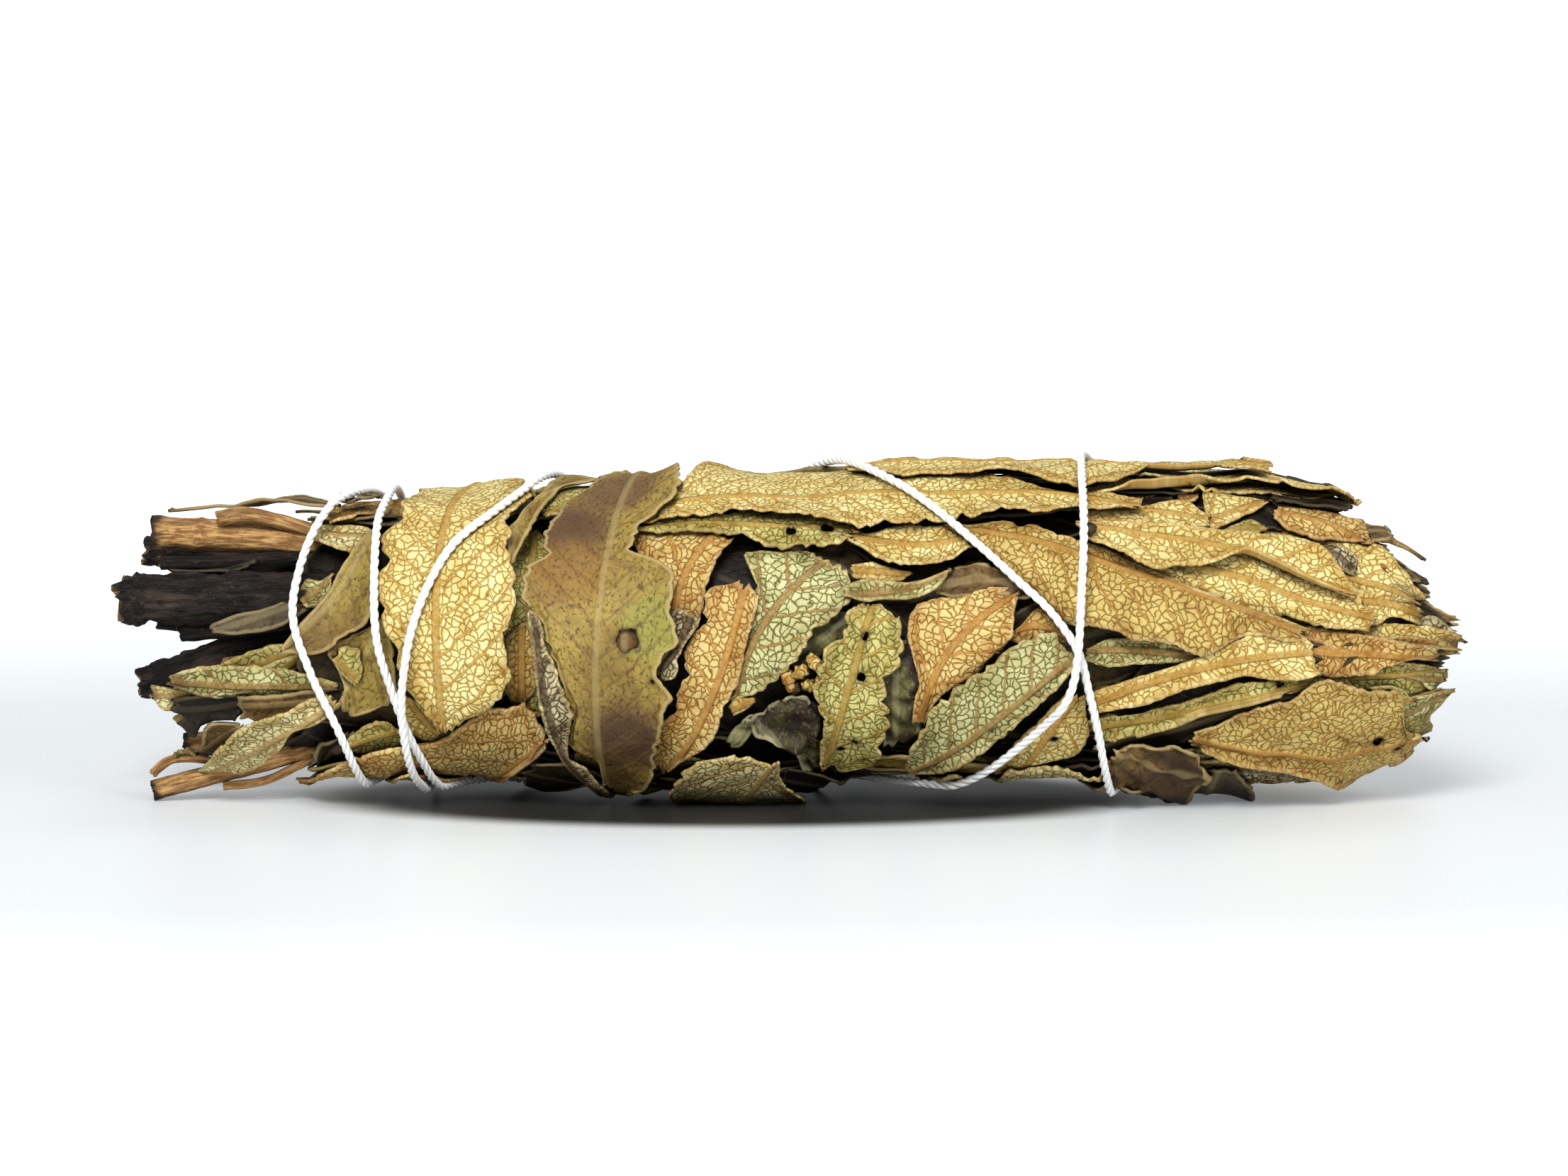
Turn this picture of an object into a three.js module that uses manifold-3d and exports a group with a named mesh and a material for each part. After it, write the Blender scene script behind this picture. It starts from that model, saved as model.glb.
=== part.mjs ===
// A smudge stick of dried yerba santa: woody stems with their leaves, wrapped in their own large leaves and
// tied with one thin cotton string. Millimetres, +Z up. It lies along X on the surface z = 0, cut stems at
// -X and leaf tips at +X. A place on the wrap is given as x and as an angle round the bundle: 0 faces -Y,
// 90 is the top, 180 the back and -90 the underside. Layer 0 is the outermost leaf, 1 the next one in.

import * as THREE from 'three';
import { mergeVertices } from 'three/addons/utils/BufferGeometryUtils.js';
import Module from 'manifold-3d';

const wasm = await Module();
wasm.setup();

const BLADE = 0.6;            // thickness of a leaf blade
const LAYER = 0.95;           // one leaf and the air under it
const RIB = 0.2;              // how far a midrib stands above the blade
const TOOTH = 0.35;           // depth of the teeth along a leaf's margin
const CELL = 3.4;             // length of one step along a blade, about one tooth
const INNER_CELL = 5.2;       // the same for the leaves inside the wrap
const STRING_RADIUS = 0.4;
const STRING_LIFT = 1.0;      // height of the string's centre above the outermost leaves
const STRING_STEP = 4.2;      // length of one straight bit of the string
const PRESSED_DEPTH = 6.7;    // the leaves under the bundle lie flat down to this far inside it
const KNOT_RADIUS = 0.9;
const KNOT_PLACE = [-32.6, 176];
const LIFTED = 1.7;           // clearance under the leaves where the string passes below them

// Top and bottom of the bundle at stations along it: x, top, bottom before it is pressed flat.
const PROFILE = [
  [-60, 25.5, 1.3],
  [-50, 26.3, 1.0],
  [-43, 27.0, 0.6],
  [-34, 28.4, 0.6],
  [-24, 28.8, 0.3],
  [-14, 29.4, -0.2],
  [-6, 30.0, -0.7],
  [6, 30.5, -0.9],
  [20, 30.8, -0.9],
  [40, 30.8, -0.9],
  [47, 30.0, 0.3],
  [52, 28.5, 2.0],
  [60, 25.0, 5.0],
];

// The underside: it rests on the surface in two places, and is lifted where the string goes under it.
const UNDERSIDE = [
  [-60, 0],
  [-44, 0],
  [-41, LIFTED],
  [-26, LIFTED],
  [-20, 0],
  [1.8, 0],
  [4.2, LIFTED],
  [32, LIFTED],
  [34, 0],
  [60, 0],
];

function smooth(f) {
  const c = Math.min(1, Math.max(0, f));
  return c * c * (3 - 2 * c);
}

// The value in a column of a table of stations, eased from one station to the next.
function station(table, x, column) {
  const last = table.length - 1;
  let i = 1;
  while (i < last && x > table[i][0]) {
    i += 1;
  }
  const from = table[i - 1];
  const to = table[i];
  const f = smooth((x - from[0]) / (to[0] - from[0]));
  return from[column] + (to[column] - from[column]) * f;
}

function girth(x) {
  return (station(PROFILE, x, 1) - station(PROFILE, x, 2)) / 2;
}

function axisHeight(x) {
  return (station(PROFILE, x, 1) + station(PROFILE, x, 2)) / 2;
}

// The packed leaves are not quite round: a slow swell that every layer and the string follow.
function swell(x, angle) {
  return 0.3 * Math.sin(0.21 * x + 3 * angle) + 0.2 * Math.sin(0.37 * x - 2 * angle + 1);
}

// The point at x, at an angle in radians, and a distance out from the surface of the wrap. Nothing goes
// below what the bundle lies on.
function onBundle(x, angle, out) {
  const reach = girth(x) + out;
  const radius = reach + swell(x, angle) * Math.min(1, reach / girth(x));
  const z = axisHeight(x) + radius * Math.sin(angle);
  const pressed = station(UNDERSIDE, x, 1) + Math.min(-out, PRESSED_DEPTH);
  return new THREE.Vector3(x, -radius * Math.cos(angle), Math.max(z, pressed, 0));
}

function solidOf(geometry) {
  const bare = geometry.clone();
  bare.deleteAttribute('normal');
  bare.deleteAttribute('uv');
  const merged = mergeVertices(bare, 1e-4);
  return new wasm.Manifold(new wasm.Mesh({
    numProp: 3,
    vertProperties: Float32Array.from(merged.attributes.position.array),
    triVerts: Uint32Array.from(merged.index.array),
  }));
}

function geometryOf(solid) {
  const mesh = solid.getMesh();
  const geometry = new THREE.BufferGeometry();
  geometry.setAttribute('position', new THREE.BufferAttribute(mesh.vertProperties, 3));
  geometry.setIndex(new THREE.BufferAttribute(mesh.triVerts, 1));
  return geometry;
}

function joined(geometries) {
  const solids = geometries.map(solidOf);
  return geometryOf(solids.reduce((whole, solid) => whole.add(solid)));
}

// A closed blade: a plane of cells is placed twice, as the outer and the inner face, and a rim joins them.
function plate(cells, across, place) {
  const plane = new THREE.PlaneGeometry(1, 1, cells, across);
  const flat = plane.attributes.position;
  const count = flat.count;
  const points = new Float32Array(count * 6);
  for (let i = 0; i < count; i++) {
    const along = flat.getX(i) + 0.5;
    const side = flat.getY(i) * 2;
    place(along, side, 1).toArray(points, i * 3);
    place(along, side, 0).toArray(points, (count + i) * 3);
  }
  const index = [];
  const face = plane.index.array;
  for (let i = 0; i < face.length; i += 3) {
    index.push(face[i], face[i + 1], face[i + 2]);
    index.push(count + face[i + 2], count + face[i + 1], count + face[i]);
  }
  const row = cells + 1;
  const rim = [];
  for (let i = 0; i < cells; i++) {
    rim.push(i);
  }
  for (let j = 0; j < across; j++) {
    rim.push(j * row + cells);
  }
  for (let i = cells; i > 0; i--) {
    rim.push(across * row + i);
  }
  for (let j = across; j > 0; j--) {
    rim.push(j * row);
  }
  rim.forEach((a, k) => {
    const b = rim[(k + 1) % rim.length];
    index.push(a, b, count + a, b, count + b, count + a);
  });
  const geometry = new THREE.BufferGeometry();
  geometry.setAttribute('position', new THREE.BufferAttribute(points, 3));
  geometry.setIndex(index);
  return geometry;
}

// Half the width of a leaf at a share of its length, as a share of its full half width.
function outline(share) {
  return Math.pow(Math.max(0, Math.sin(Math.PI * Math.pow(share, 0.9))), 0.62);
}

// A leaf laid on the bundle from its base to its tip, both as x and degrees. It keeps its true length and
// width on the curve. from and to are the part of its outline that is still there, less where it is torn.
class Leaf {
  constructor({ base, tip, width, layer, bow = 0, from = 0.03, to = 0.97, flare = 0, root = 0 }) {
    this.layer = layer;
    this.width = width;
    this.bow = bow;
    this.from = from;
    this.to = to;
    this.flare = flare;
    this.root = root;
    const middle = (base[0] + tip[0]) / 2;
    this.reach = girth(middle) - layer * LAYER;
    const turn = (degrees) => THREE.MathUtils.degToRad(degrees) * this.reach;
    this.start = new THREE.Vector2(base[0], turn(base[1]));
    this.run = new THREE.Vector2(tip[0], turn(tip[1])).sub(this.start);
    this.length = this.run.length();
    this.side = new THREE.Vector2(-this.run.y, this.run.x).normalize();
  }

  // along 0 to 1 from base to tip, side -1 to 1 across, height above the blade's inner face.
  point(along, side, height, tooth = 0) {
    const share = this.from + (this.to - this.from) * along;
    const full = outline(share) * (this.root ? smooth((along - 0.12) / 0.25) : 1);
    const half = Math.max(0.35, full * (this.width / 2 + tooth));
    const off = half * side + this.bow * Math.sin(Math.PI * along);
    const flat = this.start.clone().addScaledVector(this.run, along).addScaledVector(this.side, off);
    const rise = this.flare * along * along * along;
    const sunk = this.root * (1 - smooth(along / 0.3));
    const out = height - BLADE - this.layer * LAYER + rise - sunk;
    const radius = this.reach - sunk;
    const middle = (this.start.y + this.run.y * along) / this.reach;
    const angle = middle + (flat.y - middle * this.reach) / radius;
    return onBundle(flat.x, angle, out);
  }

  blade(across = 4, cell = CELL) {
    const cells = Math.max(4, Math.round(this.length / cell));
    const ribbed = this.layer === 0 ? RIB : 0;
    return plate(cells, across, (along, side, face) => {
      const step = Math.round(along * cells);
      const tooth = Math.abs(side) > 0.99 ? (step % 2 ? TOOTH : -TOOTH) : 0;
      const rib = side === 0 && along > 0.01 && along < 0.99 ? ribbed : 0;
      return this.point(along, side, face * (BLADE + rib), tooth);
    });
  }

  // The blade with round holes eaten through it, each given as along, side and radius.
  eaten(holes) {
    let solid = solidOf(this.blade());
    for (const [along, side, radius] of holes) {
      const under = this.point(along, side, -1);
      const over = this.point(along, side, BLADE + 1);
      const bit = new THREE.CylinderGeometry(radius, radius, under.distanceTo(over), 6);
      const up = over.clone().sub(under).normalize();
      bit.applyQuaternion(new THREE.Quaternion().setFromUnitVectors(new THREE.Vector3(0, 1, 0), up));
      bit.translate(...under.add(over).multiplyScalar(0.5).toArray());
      solid = solid.subtract(solidOf(bit));
    }
    return geometryOf(solid);
  }
}

// A woody stem or twig along hand-placed points: ribbed bark, square cut ends.
function stem(points, radius, sides = 8, steps = 9) {
  const section = new THREE.Shape();
  for (let k = 0; k < sides; k++) {
    const angle = k / sides * Math.PI * 2;
    const r = k % 2 ? radius : radius * 0.88;
    const x = Math.cos(angle) * r;
    const y = Math.sin(angle) * r;
    if (k) {
      section.lineTo(x, y);
    } else {
      section.moveTo(x, y);
    }
  }
  const path = new THREE.CatmullRomCurve3(points.map((p) => new THREE.Vector3(...p)));
  return new THREE.ExtrudeGeometry(section, { steps, bevelEnabled: false, extrudePath: path });
}

function seededRandom(seed) {
  let state = seed;
  return () => {
    state = (state * 1664525 + 1013904223) % 4294967296;
    return state / 4294967296;
  };
}

const bundle = new THREE.Group();

function finish(color, roughness) {
  return new THREE.MeshStandardMaterial({ color, roughness, metalness: 0 });
}

const NET = [finish(0xcdaa5f, 0.85), finish(0xc8be78, 0.85), finish(0xcd964b, 0.85), finish(0xb9b97d, 0.85)];
const SMOOTH = finish(0x827337, 0.55);
const BARK = finish(0x3c3028, 0.9);
const TAN = finish(0x966937, 0.8);
const COTTON = finish(0xf0f0eb, 0.9);

function add(name, geometry, material) {
  const mesh = new THREE.Mesh(geometry, material);
  mesh.name = name;
  bundle.add(mesh);
}

// Large leaves of the front: name, base, tip, width, layer, bow, from, to, flare, colour.
// Colour 0 golden, 1 yellow green, 2 orange tan and 3 pale green show the netted underside of the leaf,
// 4 shows its smooth upper side.
const FRONT = [
  ['leaf_front_01', [-27.5, 106], [-30.3, -32], 11.6, 0, 1.2, 0.06, 0.97, 0, 0],
  ['leaf_front_02', [-36.7, 46], [-45.0, 0], 3.6, 2, 0, 0.1, 0.95, 0, 4],
  ['leaf_front_03', [-35.0, 0], [-41.0, -17], 4.2, 2, 0, 0.1, 0.95, 0, 4],
  ['leaf_front_04', [-23.4, -30], [-43.4, -82], 6.2, 1, 0, 0.05, 0.97, 0, 2],
  ['leaf_front_05', [-22.5, 62], [-24.0, -24], 8.0, 3, 0, 0.05, 0.97, 0, 1],
  ['leaf_front_06', [-25.0, 46], [-14.5, 96], 2.6, 1, 0, 0.08, 0.97, 0, 4],
  ['leaf_front_07', [-12.0, 96], [-14.8, -84], 12.0, 0, -2.6, 0.05, 0.95, 0, 4],
  ['leaf_front_08', [-22.0, 14], [-16.0, -78], 6.4, 1, 0, 0.05, 0.97, 0, 3],
  ['leaf_front_09', [-5.2, 48], [-10.6, -2], 6.6, 3, 0, 0.08, 0.96, 0, 2],
  ['leaf_front_10', [-3.9, 22], [-11.4, -52], 5.8, 2, -0.8, 0.08, 0.97, 0, 2],
  ['leaf_front_11', [6.6, 41], [-5.6, -12], 8.6, 1, 0, 0.06, 0.95, 0, 3],
  ['leaf_front_12', [8.6, 16], [4.4, -46], 7.0, 1, 0, 0.1, 0.94, 0, 1],
  ['leaf_front_13', [20.6, 24], [10.2, -18], 7.0, 2, 0, 0.08, 0.96, 0, 2],
  ['leaf_front_14', [25.8, 3], [10.6, -46], 8.2, 1, 1.2, 0.04, 0.95, 0, 3],
  ['leaf_front_15', [27.6, -12], [18.6, -47], 5.2, 2, 0, 0.08, 0.95, 0, 0],
  ['leaf_front_16', [29.0, -58], [2.6, -63], 5.0, 1, 0, 0.06, 0.95, 0, 3],
  ['leaf_front_17', [-7.0, -8], [3.6, -62], 9.0, 3, 0, 0.1, 0.95, 0, 4],
  ['leaf_front_18', [31.0, 52], [-8.4, 60], 10.4, 0, 0, 0.04, 0.97, 0, 0],
  ['leaf_front_19', [10.0, 44], [-3.6, 38], 6.0, 2, 0, 0.06, 0.96, 0, 1],
  ['leaf_front_20', [19.0, 34], [4.0, 31], 4.6, 3, 0, 0.06, 0.96, 0, 0],
  ['leaf_front_21', [23.0, 25], [5.0, 19], 2.2, 0, 0, 0.1, 0.95, 0, 3],
  ['leaf_front_22', [13.6, 34], [45.4, -3], 6.4, 1, 0, 0.05, 0.96, 0, 0],
  ['leaf_front_23', [25.8, 42], [49.2, 20], 5.2, 1, 0.6, 0.05, 0.97, 0, 0],
  ['leaf_front_24', [32.6, 28], [50.2, 5], 7.0, 2, 0, 0.05, 0.9, 0, 2],
  ['leaf_front_25', [26.8, -16], [47.0, 4], 3.8, 3, 0, 0.08, 0.93, 0, 0],
  ['leaf_front_26', [28.6, -25], [46.0, -11], 3.6, 2, 0, 0.08, 0.93, 0, 1],
  ['leaf_front_27', [27.2, 2], [37.4, -2], 2.0, 0, 0, 0.1, 0.97, 0, 3],
  ['leaf_front_28', [33.0, -40], [55.6, -46], 8.6, 1, 0.8, 0.1, 0.94, 0, 0],
  ['leaf_front_29', [27.0, 72], [48.2, 66], 7.0, 1, 0, 0.06, 0.9, 0.6, 0],
  ['leaf_front_30', [27.6, 56], [50.0, 50], 6.6, 2, 0, 0.06, 0.94, 0, 0],
  ['leaf_front_31', [36.4, 42], [53.6, 43], 7.4, 3, 0, 0.06, 0.92, 0, 0],
  ['leaf_front_32', [-39.6, -18], [-52.4, -58], 3.2, 3.1, 0.8, 0.04, 0.9, 0, 3],
];

// Leaves of the back and the underside, in the same columns.
const BACK = [
  ['leaf_under_01', [-3.6, -44], [-4.6, -120], 11.6, 0, 0, 0.12, 0.9, 0, 1],
  ['leaf_under_02', [38.0, -50], [37.4, -130], 9.0, 0, 0, 0.1, 0.93, 0, 4],
  ['leaf_under_03', [-17.0, -96], [-42.0, -110], 8.6, 1, 0, 0.05, 0.95, 0, 0],
  ['leaf_under_04', [7.0, -92], [29.0, -102], 9.4, 1, 0, 0.05, 0.95, 0, 2],
  ['leaf_back_01', [-10.0, 116], [-42.4, 104], 9.4, 2, 0, 0.05, 0.95, 0, 1],
  ['leaf_back_02', [-26.0, 182], [-33.0, 118], 11.0, 0, 0, 0.05, 0.96, 0, 4],
  ['leaf_back_03', [-12.0, 160], [-41.6, 150], 9.0, 1, 0, 0.05, 0.95, 0, 0],
  ['leaf_back_04', [-14.0, 208], [-42.0, 196], 10.0, 1, 0, 0.05, 0.95, 0, 2],
  ['leaf_back_05', [-30.0, 246], [-22.0, 190], 9.0, 0, 0, 0.05, 0.96, 0, 3],
  ['leaf_back_06', [-4.0, 214], [-12.0, 112], 11.4, 0, 0, 0.05, 0.96, 0, 0],
  ['leaf_back_07', [18.0, 118], [-14.0, 138], 9.6, 1, 0, 0.05, 0.95, 0, 2],
  ['leaf_back_08', [26.0, 164], [-8.0, 178], 10.4, 1, 0, 0.05, 0.95, 0, 1],
  ['leaf_back_09', [4.0, 224], [14.0, 134], 11.6, 0, 0, 0.05, 0.96, 0, 4],
  ['leaf_back_10', [24.0, 206], [-10.0, 226], 9.8, 2, 0, 0.05, 0.95, 0, 0],
  ['leaf_back_11', [20.0, 104], [47.0, 92], 8.4, 0, 0, 0.05, 0.94, 0.5, 3],
  ['leaf_back_12', [22.0, 142], [48.6, 128], 9.4, 0, 0, 0.05, 0.95, 0.5, 0],
  ['leaf_back_13', [20.0, 182], [49.0, 170], 10.0, 0, 0, 0.05, 0.95, 0.5, 1],
  ['leaf_back_14', [18.0, 224], [50.0, 212], 9.4, 1, 0, 0.05, 0.95, 0.5, 2],
  ['leaf_back_15', [27.0, 250], [53.0, 246], 8.0, 2, 0, 0.05, 0.95, 0.5, 0],
];

// Insect holes of three leaves: along, side, radius.
const EATEN = {
  leaf_front_07: [[0.46, 0.1, 0.9]],
  leaf_front_12: [[0.3, 0.4, 0.45], [0.86, 0.1, 0.5]],
  leaf_front_19: [[0.35, 0.4, 0.45]],
};

for (const [name, base, tip, width, layer, bow, from, to, flare, colour] of [...FRONT, ...BACK]) {
  const leaf = new Leaf({ base, tip, width, layer, bow, from, to, flare });
  const geometry = EATEN[name] ? leaf.eaten(EATEN[name]) : leaf.blade();
  add(name, geometry, colour === 4 ? SMOOTH : NET[colour]);
}

// Eight leafy stems: the woody stem from its cut end into the heart of the bundle, the twigs on it as radius
// and points, and the leaves that grow from it inside the wrap, round its sector's middle in degrees. tips is
// the x where the last of them ends. A leaflet grows back along the bare stem: where from, tip, width, layer.
const STEMS = [
  {
    name: 'stem_a', radius: 1.45, material: TAN, sector: 78, tips: 53.5,
    path: [[-56.4, -2, 23.9], [-43, -2.4, 23.2], [-30, -2, 21], [-10, -1.4, 19.6], [22, -1, 19.8]],
    twigs: [[0.7, [[-54.7, -3.4, 25.9], [-48, -4.2, 26.2], [-42, -3.6, 24.6], [-38, -2.6, 22.6]]],
      [0.6, [[-55.7, -4.5, 21.5], [-50, -4.5, 21.6], [-44, -3.6, 21.9], [-38, -2.6, 22.2]]]],
    leaflets: [],
  },
  {
    name: 'stem_b', radius: 2, material: BARK, sector: 32, tips: 56.5,
    path: [[-59, -5, 18.2], [-43.4, -6.2, 18.7], [-30, -5, 17.6], [-10, -3.8, 16.8], [18, -3.6, 16.8]],
    twigs: [], leaflets: [],
  },
  {
    name: 'stem_c', radius: 1.2, material: BARK, sector: -12, tips: 59.6,
    path: [[-56.3, -3.6, 11.2], [-44, -3.4, 14.6], [-32, -4.2, 13.4], [-10, -4.4, 12.6], [24, -4.2, 12.8]],
    twigs: [[0.6, [[-56, -1, 16], [-50, -1.2, 15.3], [-45, -2, 14.8], [-42, -3.2, 14.4]]],
      [0.5, [[-50, -4.8, 12.6], [-47, -5.6, 13.1], [-44, -4.8, 13.9], [-42, -3.8, 14.2]]]],
    leaflets: [[-40, [-54.4, -26], 2.8, 5.4], [-40, [-54.3, -48], 2.4, 4.6]],
  },
  {
    name: 'stem_d', radius: 0.9, material: TAN, sector: -58, tips: 57.6,
    path: [[-56.5, -3, 0.95], [-42.3, -3, 4.7], [-36, -2.6, 6.6], [-24, -2.4, 8.8], [20, -2.2, 9.4]],
    twigs: [[0.4, [[-56.6, -3, 2.4], [-54.6, -3.2, 3.8], [-51, -3.2, 3.6], [-47, -3, 2.9]]],
      [0.4, [[-50.2, -3.4, 1.4], [-46.5, -3.7, 1.9], [-43, -3.4, 3.5], [-39, -3, 5.6]]]],
    leaflets: [],
  },
  {
    name: 'stem_e', radius: 1, material: TAN, sector: 258, tips: 55,
    path: [[-54, 3, 4.2], [-42, 2.4, 5.6], [-34, 1.4, 7.2], [-20, 1, 8.8], [18, 1, 9.2]],
    twigs: [], leaflets: [],
  },
  {
    name: 'stem_f', radius: 1.4, material: BARK, sector: 212, tips: 58,
    path: [[-58, 6.6, 9.4], [-44, 5.4, 10.4], [-30, 3.6, 11.4], [-10, 3.4, 11.6], [18, 3.4, 11.6]],
    twigs: [], leaflets: [],
  },
  {
    name: 'stem_g', radius: 1.7, material: TAN, sector: 168, tips: 57,
    path: [[-55, 7, 15.6], [-44, 6.6, 16.2], [-30, 4.6, 15.8], [-10, 4, 15.4], [22, 4, 15.4]],
    twigs: [], leaflets: [],
  },
  {
    name: 'stem_h', radius: 1.2, material: BARK, sector: 122, tips: 52,
    path: [[-57.5, 4.2, 21.6], [-44, 4, 21], [-30, 2.6, 19.6], [-10, 2.2, 19], [20, 2.2, 19]],
    twigs: [], leaflets: [],
  },
];

const SECTOR_ROWS = 4;        // leaves along each stem
const SECTOR_WIDTH = 0.66;    // width of such a leaf as a share of its distance from the axis
const HEART_LAYER = 8.2;      // layer of the widest leaves in the heart of the bundle
const LEAFY_FROM = -42;       // leaves grow from a stem between these two places
const LEAFY_TO = 16;
const INNER_LAYER = 4.6;      // first layer of the leaves inside the wrap

const random = seededRandom(7);

// Where a stem's middle passes x, as its angle round the bundle in degrees and its distance from the axis.
function passes(path, x) {
  const curve = new THREE.CatmullRomCurve3(path.map((p) => new THREE.Vector3(...p)));
  const place = curve.getPoints(200).reduce((a, b) => (Math.abs(b.x - x) < Math.abs(a.x - x) ? b : a));
  const up = place.z - axisHeight(place.x);
  return {
    x: place.x,
    degrees: THREE.MathUtils.radToDeg(Math.atan2(up, -place.y)),
    radius: Math.hypot(up, place.y),
  };
}

// The degrees that name the same direction as an angle and lie nearest to the sector's own.
function nearest(degrees, sector) {
  return degrees + 360 * Math.round((sector - degrees) / 360);
}

// A leaf whose base grows out of the middle of its stem at x.
function grown(path, x, tip, width, layer) {
  const node = passes(path, x);
  return new Leaf({
    base: [node.x, nearest(node.degrees, tip[1])],
    tip,
    width,
    layer,
    root: girth(node.x) - node.radius - layer * LAYER - BLADE / 2,
    from: 0.01,
    to: 0.96,
  });
}

// Rows of leaves along the stem under the wrap, one more in the heart of the bundle, and the leaflets.
function stemLeaves({ sector, tips, path, leaflets }, shift) {
  const leaves = leaflets.map(([x, tip, width, layer]) => grown(path, x, tip, width, layer));
  const room = tips - LEAFY_FROM;
  for (let k = 0; k < SECTOR_ROWS; k++) {
    const length = 28 + 6 * random();
    const tipX = LEAFY_FROM + room * ((k + 1) / SECTOR_ROWS);
    const sway = (random() - 0.5) * 6;
    const layer = INNER_LAYER + ((k + shift) % 2) * 1.5;
    const width = (girth(tipX - length / 2) - layer * LAYER) * SECTOR_WIDTH;
    const x = Math.min(LEAFY_TO, Math.max(LEAFY_FROM, tipX - length));
    leaves.push(grown(path, x, [tipX, sector + sway], width, layer));
  }
  const heart = HEART_LAYER + (shift % 2) * 2.4;
  const heartTip = tips - 2 + 2 * random();
  const heartWidth = (girth(heartTip) - heart * LAYER) * 2 * SECTOR_WIDTH;
  leaves.push(grown(path, LEAFY_TO, [heartTip, sector], heartWidth, heart));
  return leaves;
}

STEMS.forEach((shoot, number) => {
  const wood = stem(shoot.path, shoot.radius);
  const branches = shoot.twigs.map(([radius, points]) => stem(points, radius, 6, 6));
  const leaves = stemLeaves(shoot, number).map((leaf) => leaf.blade(2, INNER_CELL));
  add(shoot.name, joined([wood, ...branches, ...leaves]), shoot.material);
});

// The string's route by hand, as x, angle and extra height: five passes over the front, the rest behind.
const ROUTE = [
  [-32.6, 177, 1], [-33.2, 164, 0.4], [-34.6, 130, 0], [-36.4, 96, 0], [-38.6, 76, 0], [-41.8, 61, 0], [-43.2, 40, 0],
  [-43.6, 18, 0], [-42.1, -4, 0], [-39.6, -30, 0], [-37.6, -60, 0], [-36.0, -90, 0], [-34.4, -130, 0],
  [-34.0, -180, 0], [-34.6, -230, 0], [-35.4, -280, 0], [-36.2, -304, 0], [-36.4, -330, 0],
  [-36.2, -352, 0], [-35.1, -371, 0], [-34.0, -387, 0], [-32.4, -406, 0], [-30.6, -428, 0],
  [-27.6, -452, 0], [-20.0, -490, 0], [-12.0, -530, 0], [-4.0, -570, 0], [2.4, -610, 0],
  [6.3, -640, 0], [11.4, -660, 0], [15.3, -676, 0], [19.8, -694, 0], [23.1, -706, 0], [25.4, -719, 0],
  [26.3, -732, 0], [27.2, -748, 0], [28.1, -768, 0], [29.2, -790, 0], [30.4, -812, 0],
  [31.6, -850, 0], [31.0, -900, 0.1], [28.0, -950, 0.2], [26.2, -985, 0], [25.9, -1010, 0],
  [25.9, -1040, 1.1], [25.6, -1062, 1.1], [25.3, -1080, 1.1], [24.6, -1092, 1.1], [22.9, -1102, 0.4],
  [20.4, -1114, 0], [16.8, -1128, 0], [12.0, -1142, 0], [6.0, -1170, 0.1], [-2.0, -1210, 0.2],
  [-10.0, -1250, 0], [-16.0, -1290, 0], [-20.0, -1330, 0], [-22.6, -1360, 0], [-25.8, -1381, 0],
  [-29.4, -1398, 0], [-31.4, -1412, 0], [-32.8, -1426, 0.3], [-33.6, -1440, 1.1], [-34.0, -1458, 1.1],
  [-33.4, -1480, 1.1], [-32.0, -1508, 0], [-31.6, -1535, 0], [-31.8, -1570, 0], [-32.2, -1612, 0.4],
  [-32.6, -1623, 1],
];

function stringPath() {
  const points = ROUTE.map(([x, degrees, extra]) => (
    onBundle(x, THREE.MathUtils.degToRad(degrees), STRING_LIFT + extra)));
  return new THREE.CatmullRomCurve3(points, false, 'centripetal');
}

// The two ends of the string meet in a small overhand knot at the back.
function cotton() {
  const path = stringPath();
  const section = new THREE.Shape();
  section.absarc(0, 0, STRING_RADIUS, 0, Math.PI * 2);
  const steps = Math.round(path.getLength() / STRING_STEP);
  const tube = new THREE.ExtrudeGeometry(section, {
    steps,
    curveSegments: 3,
    bevelEnabled: false,
    extrudePath: path,
  });
  const knot = new THREE.TorusKnotGeometry(KNOT_RADIUS, STRING_RADIUS, 18, 5, 2, 3);
  const [x, degrees] = KNOT_PLACE;
  const middle = onBundle(x, THREE.MathUtils.degToRad(degrees), KNOT_RADIUS * 2.2);
  knot.rotateX(Math.PI / 2);
  knot.translate(...middle.toArray());
  return joined([tube, knot]);
}

add('string', cotton(), COTTON);

export default bundle;
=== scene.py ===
import math
import random

import bmesh
import bpy
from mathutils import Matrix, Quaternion, Vector, noise


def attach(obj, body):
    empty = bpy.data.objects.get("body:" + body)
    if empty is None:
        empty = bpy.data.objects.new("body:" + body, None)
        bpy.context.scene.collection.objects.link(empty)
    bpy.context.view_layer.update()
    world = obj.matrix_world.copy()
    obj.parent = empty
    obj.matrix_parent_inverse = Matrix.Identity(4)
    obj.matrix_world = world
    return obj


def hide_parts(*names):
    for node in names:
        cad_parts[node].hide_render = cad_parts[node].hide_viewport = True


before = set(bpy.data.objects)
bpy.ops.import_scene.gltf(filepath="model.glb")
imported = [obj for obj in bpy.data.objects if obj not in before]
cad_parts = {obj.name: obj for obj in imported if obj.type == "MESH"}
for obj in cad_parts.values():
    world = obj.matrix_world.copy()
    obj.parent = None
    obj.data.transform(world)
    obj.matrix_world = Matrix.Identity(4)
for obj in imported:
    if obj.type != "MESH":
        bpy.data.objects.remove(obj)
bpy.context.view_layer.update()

# The studio: a pale floor that runs back out of sight, a wide soft light above and in front, and a
# weaker one from the right. The camera stands almost level with the bundle, far off, as in the photo.
MM = 0.001
CAMERA_TURN = 7.0
CAMERA_REACH = 0.9
CAMERA_LENS = 232.0
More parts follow.
